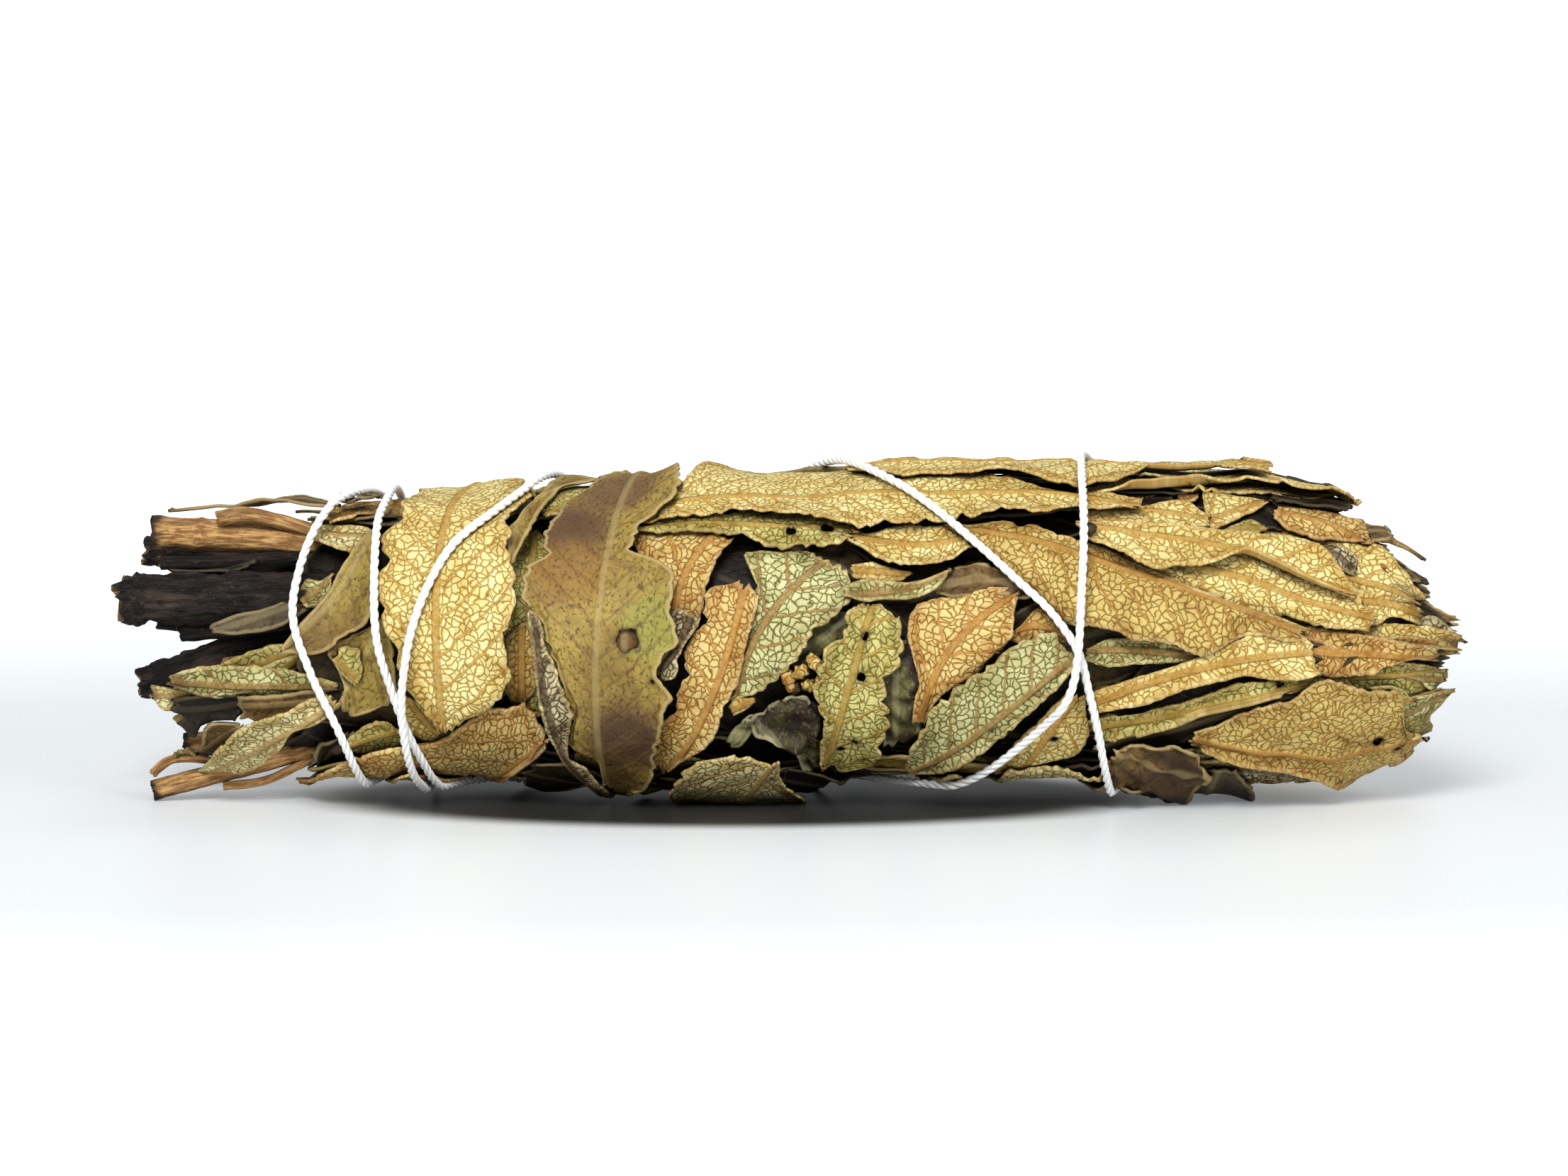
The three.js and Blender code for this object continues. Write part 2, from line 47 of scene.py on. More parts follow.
AIM = (-0.4 * MM, 0.0, 18.7 * MM)
LIT = (0.0, 0.0, 15.0 * MM)
FLOOR_SIZE = 6.0
# The painted shadow on the floor: almost black out to the first distance, fading out by the second.
PAINTED_SHADOW_WITHIN = 15.0 * MM
PAINTED_SHADOW_FADES_BY = 20.5 * MM
NEAR_GLOW = 0.13
FAR_GLOW = 0.8
GLOW_GROWS_FROM = 70.0 * MM
GLOW_GROWS_TO = 300.0 * MM
SKY_LIGHT = 0.39
SKY_SEEN = 1.05


def add_node(tree, kind, values=None, **settings):
    """One shader node with its settings, its sockets given as values or as links."""
    new = tree.nodes.new(kind)
    for name, value in settings.items():
        setattr(new, name, value)
    for name, value in (values or {}).items():
        if isinstance(value, bpy.types.NodeSocket):
            tree.links.new(value, new.inputs[name])
        else:
            new.inputs[name].default_value = value
    return new


def new_material(name):
    """A node material with only its output and a Principled BSDF, which is returned with the tree."""
    material = bpy.data.materials.new(name)
    material.use_nodes = True
    tree = material.node_tree
    tree.nodes.clear()
    shader = tree.nodes.new("ShaderNodeBsdfPrincipled")
    output = tree.nodes.new("ShaderNodeOutputMaterial")
    tree.links.new(shader.outputs["BSDF"], output.inputs["Surface"])
    return material, tree, shader


def new_object(name, mesh, materials):
    piece = bpy.data.objects.new(name, mesh)
    bpy.context.scene.collection.objects.link(piece)
    for material in materials:
        mesh.materials.append(material)
    return piece


camera_data = bpy.data.cameras.new("camera")
camera_data.lens = CAMERA_LENS
camera_data.sensor_width = 36.0
camera_data.clip_end = 20.0
camera = bpy.data.objects.new("camera", camera_data)
bpy.context.scene.collection.objects.link(camera)
turn = math.radians(CAMERA_TURN)
camera.location = Vector(AIM) + CAMERA_REACH * Vector((0.0, -math.cos(turn), math.sin(turn)))
camera.rotation_euler = (math.radians(90.0 - CAMERA_TURN), 0.0, 0.0)
bpy.context.scene.camera = camera


def ramp(tree, value, low, high, start=0.0, end=1.0):
    """A value eased from start to end as it goes from low to high."""
    new = add_node(tree, "ShaderNodeMapRange", {"Value": value, "From Min": low, "From Max": high,
                   "To Min": start, "To Max": end}, interpolation_type="SMOOTHSTEP")
    return new.outputs["Result"]


def mix_colour(tree, share, a, b, blend="MIX"):
    new = tree.nodes.new("ShaderNodeMix")
    new.data_type = "RGBA"
    new.blend_type = blend
    for i, value in ((0, share), (6, a), (7, b)):
        if isinstance(value, bpy.types.NodeSocket):
            tree.links.new(value, new.inputs[i])
        elif i == 0:
            new.inputs[i].default_value = value
        else:
            new.inputs[i].default_value = (*value, 1.0)
    return new.outputs[2]


# The floor has a painted shadow, almost black, in a long oval where the bundle rests on it, and glows
# white far from it.
floor_material, tree, shader = new_material("studio_floor")
shader.inputs["Roughness"].default_value = 0.4
spot = add_node(tree, "ShaderNodeTexCoord")
near = add_node(tree, "ShaderNodeMapping", {"Vector": spot.outputs["Object"], "Scale": (0.5, 1.0, 1.0),
                "Location": (2.5 * MM, 1.0 * MM, 0.0)})
oval = add_node(tree, "ShaderNodeVectorMath", {0: near.outputs["Vector"]}, operation="LENGTH")
away = oval.outputs["Value"]
# Painted shadow: near black inside the oval, the floor's pale colour outside it.
beyond_painted_shadow = ramp(tree, away, PAINTED_SHADOW_WITHIN, PAINTED_SHADOW_FADES_BY)
floor_colour_with_painted_shadow = mix_colour(tree, beyond_painted_shadow, (0.045, 0.045, 0.045), (0.70, 0.73, 0.75))
tree.links.new(floor_colour_with_painted_shadow, shader.inputs["Base Color"])
near_glow = ramp(tree, away, PAINTED_SHADOW_WITHIN + MM, PAINTED_SHADOW_FADES_BY + 0.5 * MM, 0.0, NEAR_GLOW)
glow = add_node(tree, "ShaderNodeMapRange", {"Value": away, "From Min": GLOW_GROWS_FROM,
                "From Max": GLOW_GROWS_TO, "To Min": near_glow, "To Max": FAR_GLOW})
glow_colour = mix_colour(tree, glow.outputs["Result"], (0.0, 0.0, 0.0), (0.95, 0.98, 1.0))
tree.links.new(glow_colour, shader.inputs["Emission Color"])
shader.inputs["Emission Strength"].default_value = 1.0
bm = bmesh.new()
bmesh.ops.create_grid(bm, x_segments=1, y_segments=1, size=FLOOR_SIZE)
floor_mesh = bpy.data.meshes.new("floor")
bm.to_mesh(floor_mesh)
bm.free()
floor = new_object("floor", floor_mesh, [floor_material])

world = bpy.data.worlds.new("studio")
world.use_nodes = True
tree = world.node_tree
sky = tree.nodes["Background"]
sky.inputs["Color"].default_value = (0.97, 0.985, 1.0, 1.0)
seen = tree.nodes.new("ShaderNodeLightPath")
strength = add_node(tree, "ShaderNodeMix", {"Factor": seen.outputs["Is Camera Ray"], "A": SKY_LIGHT,
                    "B": SKY_SEEN})
tree.links.new(strength.outputs["Result"], sky.inputs["Strength"])
bpy.context.scene.world = world
bpy.context.scene.view_settings.view_transform = "Standard"
bpy.context.scene.view_settings.look = "Medium High Contrast"
# Columns: name, place in metres, size and power in watts.
LIGHTS = [
    ("key_light", (-0.2, -1.0, 0.85), 0.5, 13.0),
    ("side_light", (0.8, -1.0, 0.5), 0.5, 4.0),
    ("back_light", (0.3, 0.7, 1.1), 0.6, 2.0),
]
for name, place, size, power in LIGHTS:
    lamp_data = bpy.data.lights.new(name, "AREA")
    lamp_data.size = size
    lamp_data.energy = power
    lamp = bpy.data.objects.new(name, lamp_data)
    bpy.context.scene.collection.objects.link(lamp)
    lamp.location = place
    lamp.rotation_euler = (Vector(LIT) - lamp.location).to_track_quat("-Z", "Y").to_euler()

# The form of the bundle, which every leaf and the string lie on. A place on it is x in millimetres and
# an angle round it in degrees: 0 faces the camera, 90 is the top. It is round, a little swollen here and
# there, flat where it rests on the floor, and lifted where the string passes under it.
PROFILE = [
    (-60, 25.3, 1.3), (-50, 26.1, 1.0), (-43, 26.6, 0.6), (-34, 27.7, 0.6), (-24, 28.1, 0.3),
    (-14, 28.7, -0.2), (-6, 29.5, -0.7), (6, 29.8, -0.9), (20, 30.1, -0.9), (40, 29.9, -0.9),
    (47, 28.5, 0.3), (52, 27.2, 2.0), (60, 23.4, 5.0),
]
LIFTED = 1.7
UNDERSIDE = [
    (-60, 0), (-44, 0), (-41, LIFTED), (-26, LIFTED), (-20, 0), (1.8, 0), (4.2, LIFTED),
    (32, LIFTED), (34, 0), (60, 0),
]
PRESSED_DEPTH = 6.7


def smooth(f):
    f = min(1.0, max(0.0, f))
    return f * f * (3.0 - 2.0 * f)


def station(table, x, column):
    """The value in a column of a table of stations along the bundle, eased from one to the next."""
    i = 1
    while i < len(table) - 1 and x > table[i][0]:
        i += 1
    before, after = table[i - 1], table[i]
    f = smooth((x - before[0]) / (after[0] - before[0]))
    return before[column] + (after[column] - before[column]) * f


def girth(x):
    return (station(PROFILE, x, 1) - station(PROFILE, x, 2)) / 2.0


def axis_height(x):
    return (station(PROFILE, x, 1) + station(PROFILE, x, 2)) / 2.0


def swell(x, angle):
    return 0.3 * math.sin(0.21 * x + 3 * angle) + 0.2 * math.sin(0.37 * x - 2 * angle + 1)


def on_bundle(x, angle, out):
    """The point in metres at x, at an angle in radians and a distance out from the wrap's surface."""
    around = girth(x)
    reach = around + out
    radius = reach + swell(x, angle) * min(1.0, reach / around)
    z = axis_height(x) + radius * math.sin(angle)
    pressed = station(UNDERSIDE, x, 1) + min(-out, PRESSED_DEPTH)
    return Vector((x, -radius * math.cos(angle), max(z, pressed, 0.03))) * MM


# The string's way round the bundle, settled first because the leaves are pressed in under it: x, degrees
# and extra height at listed points, five passes over the front and the rest behind.
ROUTE = [
    (-32.6, 177, 1), (-33.2, 164, 0.4), (-35.4, 130, 0), (-37.6, 96, 0), (-39.6, 76, 0),
    (-41.8, 61, 0), (-43.2, 40, 0), (-43.6, 18, 0), (-42.1, -4, 0), (-39.6, -30, 0),
    (-37.6, -60, 0), (-36.0, -90, 0), (-34.4, -130, 0), (-34.0, -180, 0), (-34.6, -230, 0),
    (-35.4, -280, 0), (-36.2, -304, 0), (-36.4, -330, 0), (-36.2, -352, 0), (-35.1, -371, 0),
    (-34.0, -387, 0), (-32.4, -406, 0), (-30.6, -428, 0), (-27.6, -452, 0), (-20.0, -490, 0),
    (-12.0, -530, 0), (-4.0, -570, 0), (2.4, -610, 0), (6.3, -640, 0), (11.4, -660, 0),
    (15.3, -676, 0), (19.8, -694, 0), (23.1, -706, 0), (25.4, -719, 0), (26.3, -732, 0),
    (27.2, -748, 0), (28.1, -768, 0), (29.2, -790, 0), (30.4, -812, 0), (31.6, -850, 0),
    (31.0, -900, 0.1), (28.0, -950, 0.2), (26.2, -985, 0), (25.9, -1010, 0), (25.9, -1040, 1.1),
    (25.6, -1062, 1.1), (25.3, -1080, 1.1), (24.6, -1092, 1.1), (22.9, -1102, 0.4),
    (20.4, -1114, 0), (16.8, -1128, 0), (12.0, -1142, 0), (6.0, -1170, 0.1), (-2.0, -1210, 0.2),
    (-10.0, -1250, 0), (-16.0, -1290, 0), (-20.0, -1330, 0), (-22.6, -1360, 0), (-25.8, -1381, 0),
    (-29.4, -1398, 0), (-31.4, -1412, 0), (-32.8, -1426, 0.3), (-33.6, -1440, 1.1),
    (-34.0, -1458, 1.1), (-33.4, -1480, 1.1), (-32.0, -1508, 0), (-31.6, -1535, 0),
    (-31.8, -1570, 0), (-32.2, -1612, 0.4), (-32.6, -1623, 1),
]
STRING_LIFT = 0.62
STRING_RADIUS = 0.4
HELD_OFF = 0.6
MOST_DROP = 2.4
TIGHTENING = 60
SLACK = 0.004
CELL_LENGTH = 4
CELL_DEGREES = 15


def along_route(table, steps):
    """Points on a smooth curve through the rows of a table, a number of steps from each to the next."""
    rows = []
    last = len(table) - 1
    for i in range(last):
        p0, p1, p2, p3 = (table[max(0, min(last, i + k))] for k in (-1, 0, 1, 2))
        for step in range(steps):
            f = step / steps
            row = []
            for a, b, c, d in zip(p0, p1, p2, p3):
                rise = (c - a) * f + (2 * a - 5 * b + 4 * c - d) * f * f + (3 * b - a - 3 * c + d) * f ** 3
                row.append(b + rise / 2.0)
            rows.append(row)
    rows.append(list(table[last]))
    return rows


STRING_WAY = along_route(ROUTE, 8)
string_marks = {}


def lay_string(leaves, layer_height):
    """Lets the string down onto the leaves that it crosses, taut from one high place to the next.

    It isn't let down where the route's extra height holds it off.
    """
    drops = []
    for x, degrees, extra in STRING_WAY:
        layers = [leaf.layer for leaf in leaves if leaf.covers(x, degrees, 0.8)]
        drops.append(-layer_height * max(0.0, min([MOST_DROP] + layers)) if extra < HELD_OFF else 0.0)
    for _ in range(TIGHTENING):
        for i in range(1, len(drops) - 1):
            drops[i] = max(drops[i], (drops[i - 1] + drops[i + 1]) / 2.0 - SLACK)
    for (x, degrees, extra), drop in zip(STRING_WAY, drops):
        if extra < HELD_OFF:
            cell = (int(x // CELL_LENGTH), int((degrees % 360) // CELL_DEGREES))
            string_marks.setdefault(cell, []).append((x, degrees % 360, drop))
    return drops


def from_string(x, degrees):
    """How far a place on the wrap is from the string, up to a cell's length, and how low the string is."""
    nearest, lowered = float(CELL_LENGTH), 0.0
    around = degrees % 360
    i, j = int(x // CELL_LENGTH), int(around // CELL_DEGREES)
    arc = math.radians(1.0) * girth(x)
    for di in (-1, 0, 1):
        for dj in (-1, 0, 1):
            for mark_x, mark, drop in string_marks.get((i + di, (j + dj) % (360 // CELL_DEGREES)), ()):
                turn_by = abs(mark - around)
                turn_by = min(turn_by, 360 - turn_by)
                far = math.hypot(mark_x - x, turn_by * arc)
                if far < nearest:
                    nearest, lowered = far, drop
    return nearest, lowered


# The leaf finishes. A dried leaf shows a pale net of veins on its underside and a darker, resinous upper
# side. Patterns follow the leaf through its "place" attribute: millimetres along it, across it from the
# midrib, and in from its margin.
SIDE_VEIN_GAP = 3.1
SIDE_VEIN_SLOPE = 0.8
SIDE_VEIN_CURVE = 0.03


def new_group(name, inputs, outputs):
    group = bpy.data.node_groups.new(name, "ShaderNodeTree")
    for label, kind in inputs:
        group.interface.new_socket(label, in_out="INPUT", socket_type=kind)
    for label, kind in outputs:
        group.interface.new_socket(label, in_out="OUTPUT", socket_type=kind)
    return group, group.nodes.new("NodeGroupInput"), group.nodes.new("NodeGroupOutput")


def math_node(tree, operation, a, b=0.0, c=0.0):
    values = {0: a, 1: b, 2: c}
    new = tree.nodes.new("ShaderNodeMath")
    new.operation = operation
    for i, value in values.items():
        if isinstance(value, bpy.types.NodeSocket):
            tree.links.new(value, new.inputs[i])
        else:
            new.inputs[i].default_value = value
    return new.outputs[0]


def make_vein_net():
    """The net of veins on a leaf: fine cells inside larger ones, side veins, and the midrib."""
    labels = ("Lines", "Side veins", "Midrib", "Cell tone", "Relief", "Margin", "Patch", "Fleck", "Bright",
              "Worn")
    group, start, end = new_group("vein_net", [("Place", "NodeSocketVector"), ("Cell", "NodeSocketFloat")],
                                  [(label, "NodeSocketFloat") for label in labels])
    place = start.outputs["Place"]
    parts = add_node(group, "ShaderNodeSeparateXYZ", {"Vector": place})
    across = math_node(group, "ABSOLUTE", parts.outputs["Y"])
    wander = add_node(group, "ShaderNodeTexNoise", {"Vector": place, "Scale": 0.55, "Detail": 2.0})
    shift = add_node(group, "ShaderNodeVectorMath", {0: wander.outputs["Color"], 1: (0.5, 0.5, 0.5)},
                     operation="SUBTRACT")
    spread = add_node(group, "ShaderNodeVectorMath", {0: shift.outputs[0], "Scale": 1.6}, operation="SCALE")
    bent = add_node(group, "ShaderNodeVectorMath", {0: place, 1: spread.outputs[0]}, operation="ADD")
    fineness = math_node(group, "DIVIDE", 1.0, start.outputs["Cell"])
    cells = add_node(group, "ShaderNodeTexVoronoi", {"Vector": bent.outputs[0], "Scale": fineness},
                     voronoi_dimensions="2D", feature="DISTANCE_TO_EDGE")
    tones = add_node(group, "ShaderNodeTexVoronoi", {"Vector": bent.outputs[0], "Scale": fineness},
                     voronoi_dimensions="2D", feature="F1")
    small = add_node(group, "ShaderNodeTexVoronoi", {"Vector": bent.outputs[0],
                     "Scale": math_node(group, "MULTIPLY", fineness, 2.4)},
                     voronoi_dimensions="2D", feature="DISTANCE_TO_EDGE")
    coarse = ramp(group, cells.outputs["Distance"], 0.02, 0.115, 1.0, 0.0)
    fine = ramp(group, small.outputs["Distance"], 0.0, 0.16, 0.3, 0.0)
    lean = math_node(group, "MULTIPLY_ADD", across, -SIDE_VEIN_SLOPE, parts.outputs["X"])
    squared = math_node(group, "MULTIPLY", across, across)
    swept = math_node(group, "MULTIPLY_ADD", squared, -SIDE_VEIN_CURVE, lean)
    strayed = math_node(group, "MULTIPLY_ADD", wander.outputs["Fac"], 1.2, swept)
    phase = math_node(group, "FRACT", math_node(group, "DIVIDE", strayed, SIDE_VEIN_GAP))
    off = math_node(group, "ABSOLUTE", math_node(group, "SUBTRACT", phase, 0.5))
    side = ramp(group, off, 0.03, 0.085, 1.0, 0.0)
    rib = ramp(group, across, 0.2, 0.5, 1.0, 0.0)
    lines = math_node(group, "MAXIMUM", coarse, fine)
    tone = add_node(group, "ShaderNodeSeparateColor", {"Color": tones.outputs["Color"]})
    # Painted highlight: brighter toward the middle of each cell, as if its dome caught the light.
    cell_highlight = ramp(group, cells.outputs["Distance"], 0.07, 0.22)
    dome = ramp(group, cells.outputs["Distance"], 0.0, 0.2, 0.0, 0.6)
    puff = ramp(group, off, 0.0, 0.4, 0.0, 0.4)
    body = math_node(group, "ADD", dome, puff)
    veins = math_node(group, "MAXIMUM", math_node(group, "MULTIPLY", side, 1.2),
                      math_node(group, "MULTIPLY", rib, 2.2))
    relief = math_node(group, "MAXIMUM", body, veins)
    patch = add_node(group, "ShaderNodeTexNoise", {"Vector": place, "Scale": 0.16, "Detail": 3.0,
                     "Roughness": 0.6})
    fleck = add_node(group, "ShaderNodeTexNoise", {"Vector": place, "Scale": 2.6, "Detail": 2.0})
    ragged = math_node(group, "MULTIPLY_ADD", fleck.outputs["Fac"], -0.35, parts.outputs["Z"])
    margin = ramp(group, ragged, 0.0, 0.22, 1.0, 0.0)
    rim = ramp(group, parts.outputs["Z"], 0.2, 2.4, 0.75, 0.0)
    blotted = add_node(group, "ShaderNodeTexNoise", {"Vector": place, "Scale": 0.34, "Detail": 4.0,
                       "Roughness": 0.7})
    worn = ramp(group, math_node(group, "MULTIPLY_ADD", rim, 0.22, blotted.outputs["Fac"]), 0.5, 0.74)
    values = (lines, side, rib, tone.outputs[0], relief, margin, patch.outputs["Fac"], fleck.outputs["Fac"],
              cell_highlight, worn)
    for label, value in zip(labels, values):
        group.links.new(value, end.inputs[label])
    return group


VEIN_NET = make_vein_net()


def make_painted_gap_shade():
    """Painted shade: the colour darkened where leaves and stems lie close together, found by ambient
    occlusion.
    """
    colour = [("Colour", "NodeSocketColor")]
    group, start, end = new_group("painted_gap_shade", colour, colour)
    near = add_node(group, "ShaderNodeAmbientOcclusion", {"Distance": 2.2 * MM}, samples=6)
    shade = ramp(group, near.outputs["AO"], 0.12, 0.62, 0.88, 0.0)
    dark = mix_colour(group, 1.0, start.outputs["Colour"], (0.10, 0.07, 0.045), "MULTIPLY")
    group.links.new(mix_colour(group, shade, start.outputs["Colour"], dark), end.inputs["Colour"])
    return group


PAINTED_GAP_SHADE = make_painted_gap_shade()


def colour_with_painted_gap_shade(tree, shader, colour):
    """Sends a colour to the shader through the painted shade group, which darkens it where parts lie close
    together.
    """
    painted_gap_shade = add_node(tree, "ShaderNodeGroup", node_tree=PAINTED_GAP_SHADE)
    tree.links.new(colour, painted_gap_shade.inputs["Colour"])
    tree.links.new(painted_gap_shade.outputs["Colour"], shader.inputs["Base Color"])


def net_finish(name, cell_highlight, body, deep, vein, rib, cell=0.64):
    """The netted underside of a dried leaf: cells with a painted highlight in the middle, deeper patches,
    veins and midrib.
    """
    material, tree, shader = new_material(name)
    place = add_node(tree, "ShaderNodeAttribute", attribute_name="place")
    age = add_node(tree, "ShaderNodeAttribute", attribute_name="age")
    net = add_node(tree, "ShaderNodeGroup", node_tree=VEIN_NET)
    tree.links.new(place.outputs["Vector"], net.inputs["Place"])
    net.inputs["Cell"].default_value = cell
    out = net.outputs
    patch = ramp(tree, out["Patch"], 0.36, 0.66)
    ground = mix_colour(tree, patch, body, deep)
    tone = math_node(tree, "MULTIPLY_ADD", out["Cell tone"], 0.5, 0.4)
    # The painted highlight in the cells' middles, varied by each cell's tone.
    lit = math_node(tree, "MULTIPLY", out["Bright"], tone)
    dulled = mix_colour(tree, math_node(tree, "MULTIPLY", patch, 0.22), cell_highlight, deep, "MULTIPLY")
    centred = mix_colour(tree, lit, ground, dulled)
    shaded = mix_colour(tree, math_node(tree, "MULTIPLY", out["Lines"], 0.85), centred, vein)
    veined = mix_colour(tree, math_node(tree, "MULTIPLY", out["Side veins"], 0.8), shaded, rib)
    ribbed = mix_colour(tree, math_node(tree, "MULTIPLY", out["Midrib"], 0.8), veined, rib)
    spots = ramp(tree, out["Fleck"], 0.66, 0.74, 0.0, 0.55)
    flecked = mix_colour(tree, spots, ribbed, (0.09, 0.045, 0.02))
    edged = mix_colour(tree, math_node(tree, "MULTIPLY", out["Margin"], 0.5), flecked, (0.66, 0.52, 0.26))
    stale = math_node(tree, "MULTIPLY", out["Worn"], 0.55)
    browned = mix_colour(tree, stale, edged, deep, "MULTIPLY")
    burnt = math_node(tree, "MULTIPLY", age.outputs["Fac"], 0.85)
    singed = mix_colour(tree, burnt, browned, (0.07, 0.035, 0.016))
    colour_with_painted_gap_shade(tree, shader, singed)
    shader.inputs["Roughness"].default_value = 0.75
    shader.inputs["Specular IOR Level"].default_value = 0.3
    bump = add_node(tree, "ShaderNodeBump", {"Height": out["Relief"], "Strength": 0.8,
                    "Distance": 0.1 * MM})
    tree.links.new(bump.outputs["Normal"], shader.inputs["Normal"])
    return material


def smooth_finish(name, light, dark, speck, vein, blotches=(), edge=(0.46, 0.36, 0.17)):
    """The upper side of a dried leaf: leathery, speckled, its veins sunk in and a little darker.

    Each blotch is a round stain: its place along and across the leaf, its radius and its colour.
    """
    material, tree, shader = new_material(name)
    place = add_node(tree, "ShaderNodeAttribute", attribute_name="place")
    net = add_node(tree, "ShaderNodeGroup", node_tree=VEIN_NET)
    tree.links.new(place.outputs["Vector"], net.inputs["Place"])
    net.inputs["Cell"].default_value = 1.25
    out = net.outputs
    patch = ramp(tree, out["Patch"], 0.4, 0.64)
    ground = mix_colour(tree, patch, light, dark)
    for along, across, radius, colour in blotches:
        gap = add_node(tree, "ShaderNodeVectorMath", {0: place.outputs["Vector"], 1: (along, across, 0.0)},
                       operation="SUBTRACT")
        level = add_node(tree, "ShaderNodeVectorMath", {0: gap.outputs[0], 1: (1.0, 1.0, 0.0)},
                         operation="MULTIPLY")
        far = add_node(tree, "ShaderNodeVectorMath", {0: level.outputs[0]}, operation="LENGTH")
        ragged = math_node(tree, "MULTIPLY_ADD", out["Fleck"], -2.6, far.outputs["Value"])
        stain = ramp(tree, ragged, radius * 0.45 - 1.3, radius - 1.0, 0.85, 0.0)
        ground = mix_colour(tree, stain, ground, colour)
    specks = ramp(tree, out["Fleck"], 0.55, 0.66, 0.0, 0.7)
    specked = mix_colour(tree, specks, ground, speck)
    netted = mix_colour(tree, math_node(tree, "MULTIPLY", out["Lines"], 0.35), specked, vein)
    veined = mix_colour(tree, math_node(tree, "MULTIPLY", out["Side veins"], 0.4), netted, vein)
    ribbed = mix_colour(tree, math_node(tree, "MULTIPLY", out["Midrib"], 0.3), veined, edge)
    edged = mix_colour(tree, math_node(tree, "MULTIPLY", out["Margin"], 0.6), ribbed, edge)
    age = add_node(tree, "ShaderNodeAttribute", attribute_name="age")
    burnt = math_node(tree, "MULTIPLY", age.outputs["Fac"], 0.8)
    singed = mix_colour(tree, burnt, edged, (0.05, 0.03, 0.016))
    colour_with_painted_gap_shade(tree, shader, singed)
    shader.inputs["Roughness"].default_value = 0.58
    shader.inputs["Specular IOR Level"].default_value = 0.28
    bump = add_node(tree, "ShaderNodeBump", {"Height": out["Relief"], "Strength": 0.5,
                    "Distance": 0.08 * MM})
    tree.links.new(bump.outputs["Normal"], shader.inputs["Normal"])
    return material


GOLDEN = net_finish("net_golden", (0.82, 0.77, 0.42), (0.67, 0.55, 0.215), (0.57, 0.41, 0.115),
                    (0.24, 0.145, 0.035), (0.42, 0.25, 0.06))
YELLOW_GREEN = net_finish("net_yellow_green", (0.64, 0.60, 0.27), (0.46, 0.41, 0.14),
                          (0.37, 0.30, 0.07), (0.12, 0.095, 0.02), (0.38, 0.25, 0.06))
ORANGE_TAN = net_finish("net_orange_tan", (0.72, 0.60, 0.29), (0.56, 0.39, 0.12), (0.47, 0.26, 0.055),
                        (0.16, 0.08, 0.02), (0.40, 0.21, 0.055))
PALE_GREEN = net_finish("net_pale_green", (0.66, 0.65, 0.37), (0.45, 0.43, 0.19), (0.35, 0.31, 0.11),
                        (0.07, 0.06, 0.015), (0.28, 0.17, 0.055))
OLIVE = smooth_finish("smooth_olive", (0.31, 0.225, 0.055), (0.18, 0.11, 0.03), (0.06, 0.035, 0.015),
                      (0.10, 0.06, 0.02))
# Near-black finishes. DARK is a real brown-black colour for some leaves and buds, and is also set on leaves
# in the gaps as painted shade. SHADED is painted shade, for leaves deep in the wrap that are seen only
# through gaps.
DARK = smooth_finish("smooth_dark", (0.085, 0.06, 0.022), (0.03, 0.019, 0.01), (0.012, 0.008, 0.005),
                     (0.02, 0.013, 0.008), edge=(0.3, 0.24, 0.13))
DARK_NET = net_finish("net_dark", (0.72, 0.68, 0.48), (0.46, 0.38, 0.19), (0.22, 0.15, 0.06),
                      (0.02, 0.014, 0.008), (0.10, 0.06, 0.03))
BROWN = smooth_finish("smooth_brown", (0.19, 0.115, 0.04), (0.075, 0.042, 0.018), (0.03, 0.018, 0.01),
                      (0.05, 0.03, 0.016))
SHADED = smooth_finish("smooth_shaded", (0.022, 0.016, 0.01), (0.01, 0.007, 0.005), (0.004, 0.003, 0.002),
                       (0.006, 0.004, 0.003), edge=(0.10, 0.075, 0.04))
OCHRE = net_finish("net_ochre", (0.64, 0.52, 0.22), (0.50, 0.36, 0.10), (0.40, 0.25, 0.055),
                   (0.15, 0.085, 0.02), (0.36, 0.20, 0.05))
CRUSHED = smooth_finish("smooth_crushed", (0.15, 0.14, 0.045), (0.045, 0.028, 0.022), (0.22, 0.19, 0.10),
                        (0.03, 0.022, 0.014), edge=(0.36, 0.33, 0.2))
CREAM = net_finish("net_cream", (0.86, 0.80, 0.50), (0.64, 0.56, 0.27), (0.50, 0.40, 0.16),
                   (0.11, 0.08, 0.025), (0.36, 0.24, 0.09))
FINISHES = [GOLDEN, YELLOW_GREEN, ORANGE_TAN, PALE_GREEN, OLIVE, DARK, DARK_NET, BROWN, SHADED, OCHRE,
            CRUSHED, CREAM]
SLOTS = ["net_golden", "net_yellow_green", "net_orange_tan", "net_pale_green", "smooth_olive",
         "smooth_olive", "net_pale_green", "smooth_olive", "smooth_olive", "net_orange_tan", "smooth_olive",
         "net_pale_green"]

# The large leaves of the wrap. Each is a thin blade laid on the bundle from base to tip in its own layer,
# with a toothed margin, a raised midrib, and its own cup, rolled margins and ruffle.
LAYER = 0.95
THICKNESS = 0.26
LEAF_GAP = 0.42
RUFFLE = 0.3
PRESSED_TO = -4.2


def outline(share):
    return max(0.0, math.sin(math.pi * share ** 0.9)) ** 0.62


def along_table(table, share):
    """A value along a row of evenly spaced ones, on a smooth curve through them."""
    place = min(0.9999, max(0.0, share)) * (len(table) - 1)
    i = int(place)
    f = place - i
    a, b, c, d = (table[max(0, min(len(table) - 1, i + k))] for k in (-1, 0, 1, 2))
    rise = (c - a) * f + (2 * a - 5 * b + 4 * c - d) * f * f + (3 * b - a - 3 * c + d) * f ** 3
    return max(0.05, b + rise / 2.0)


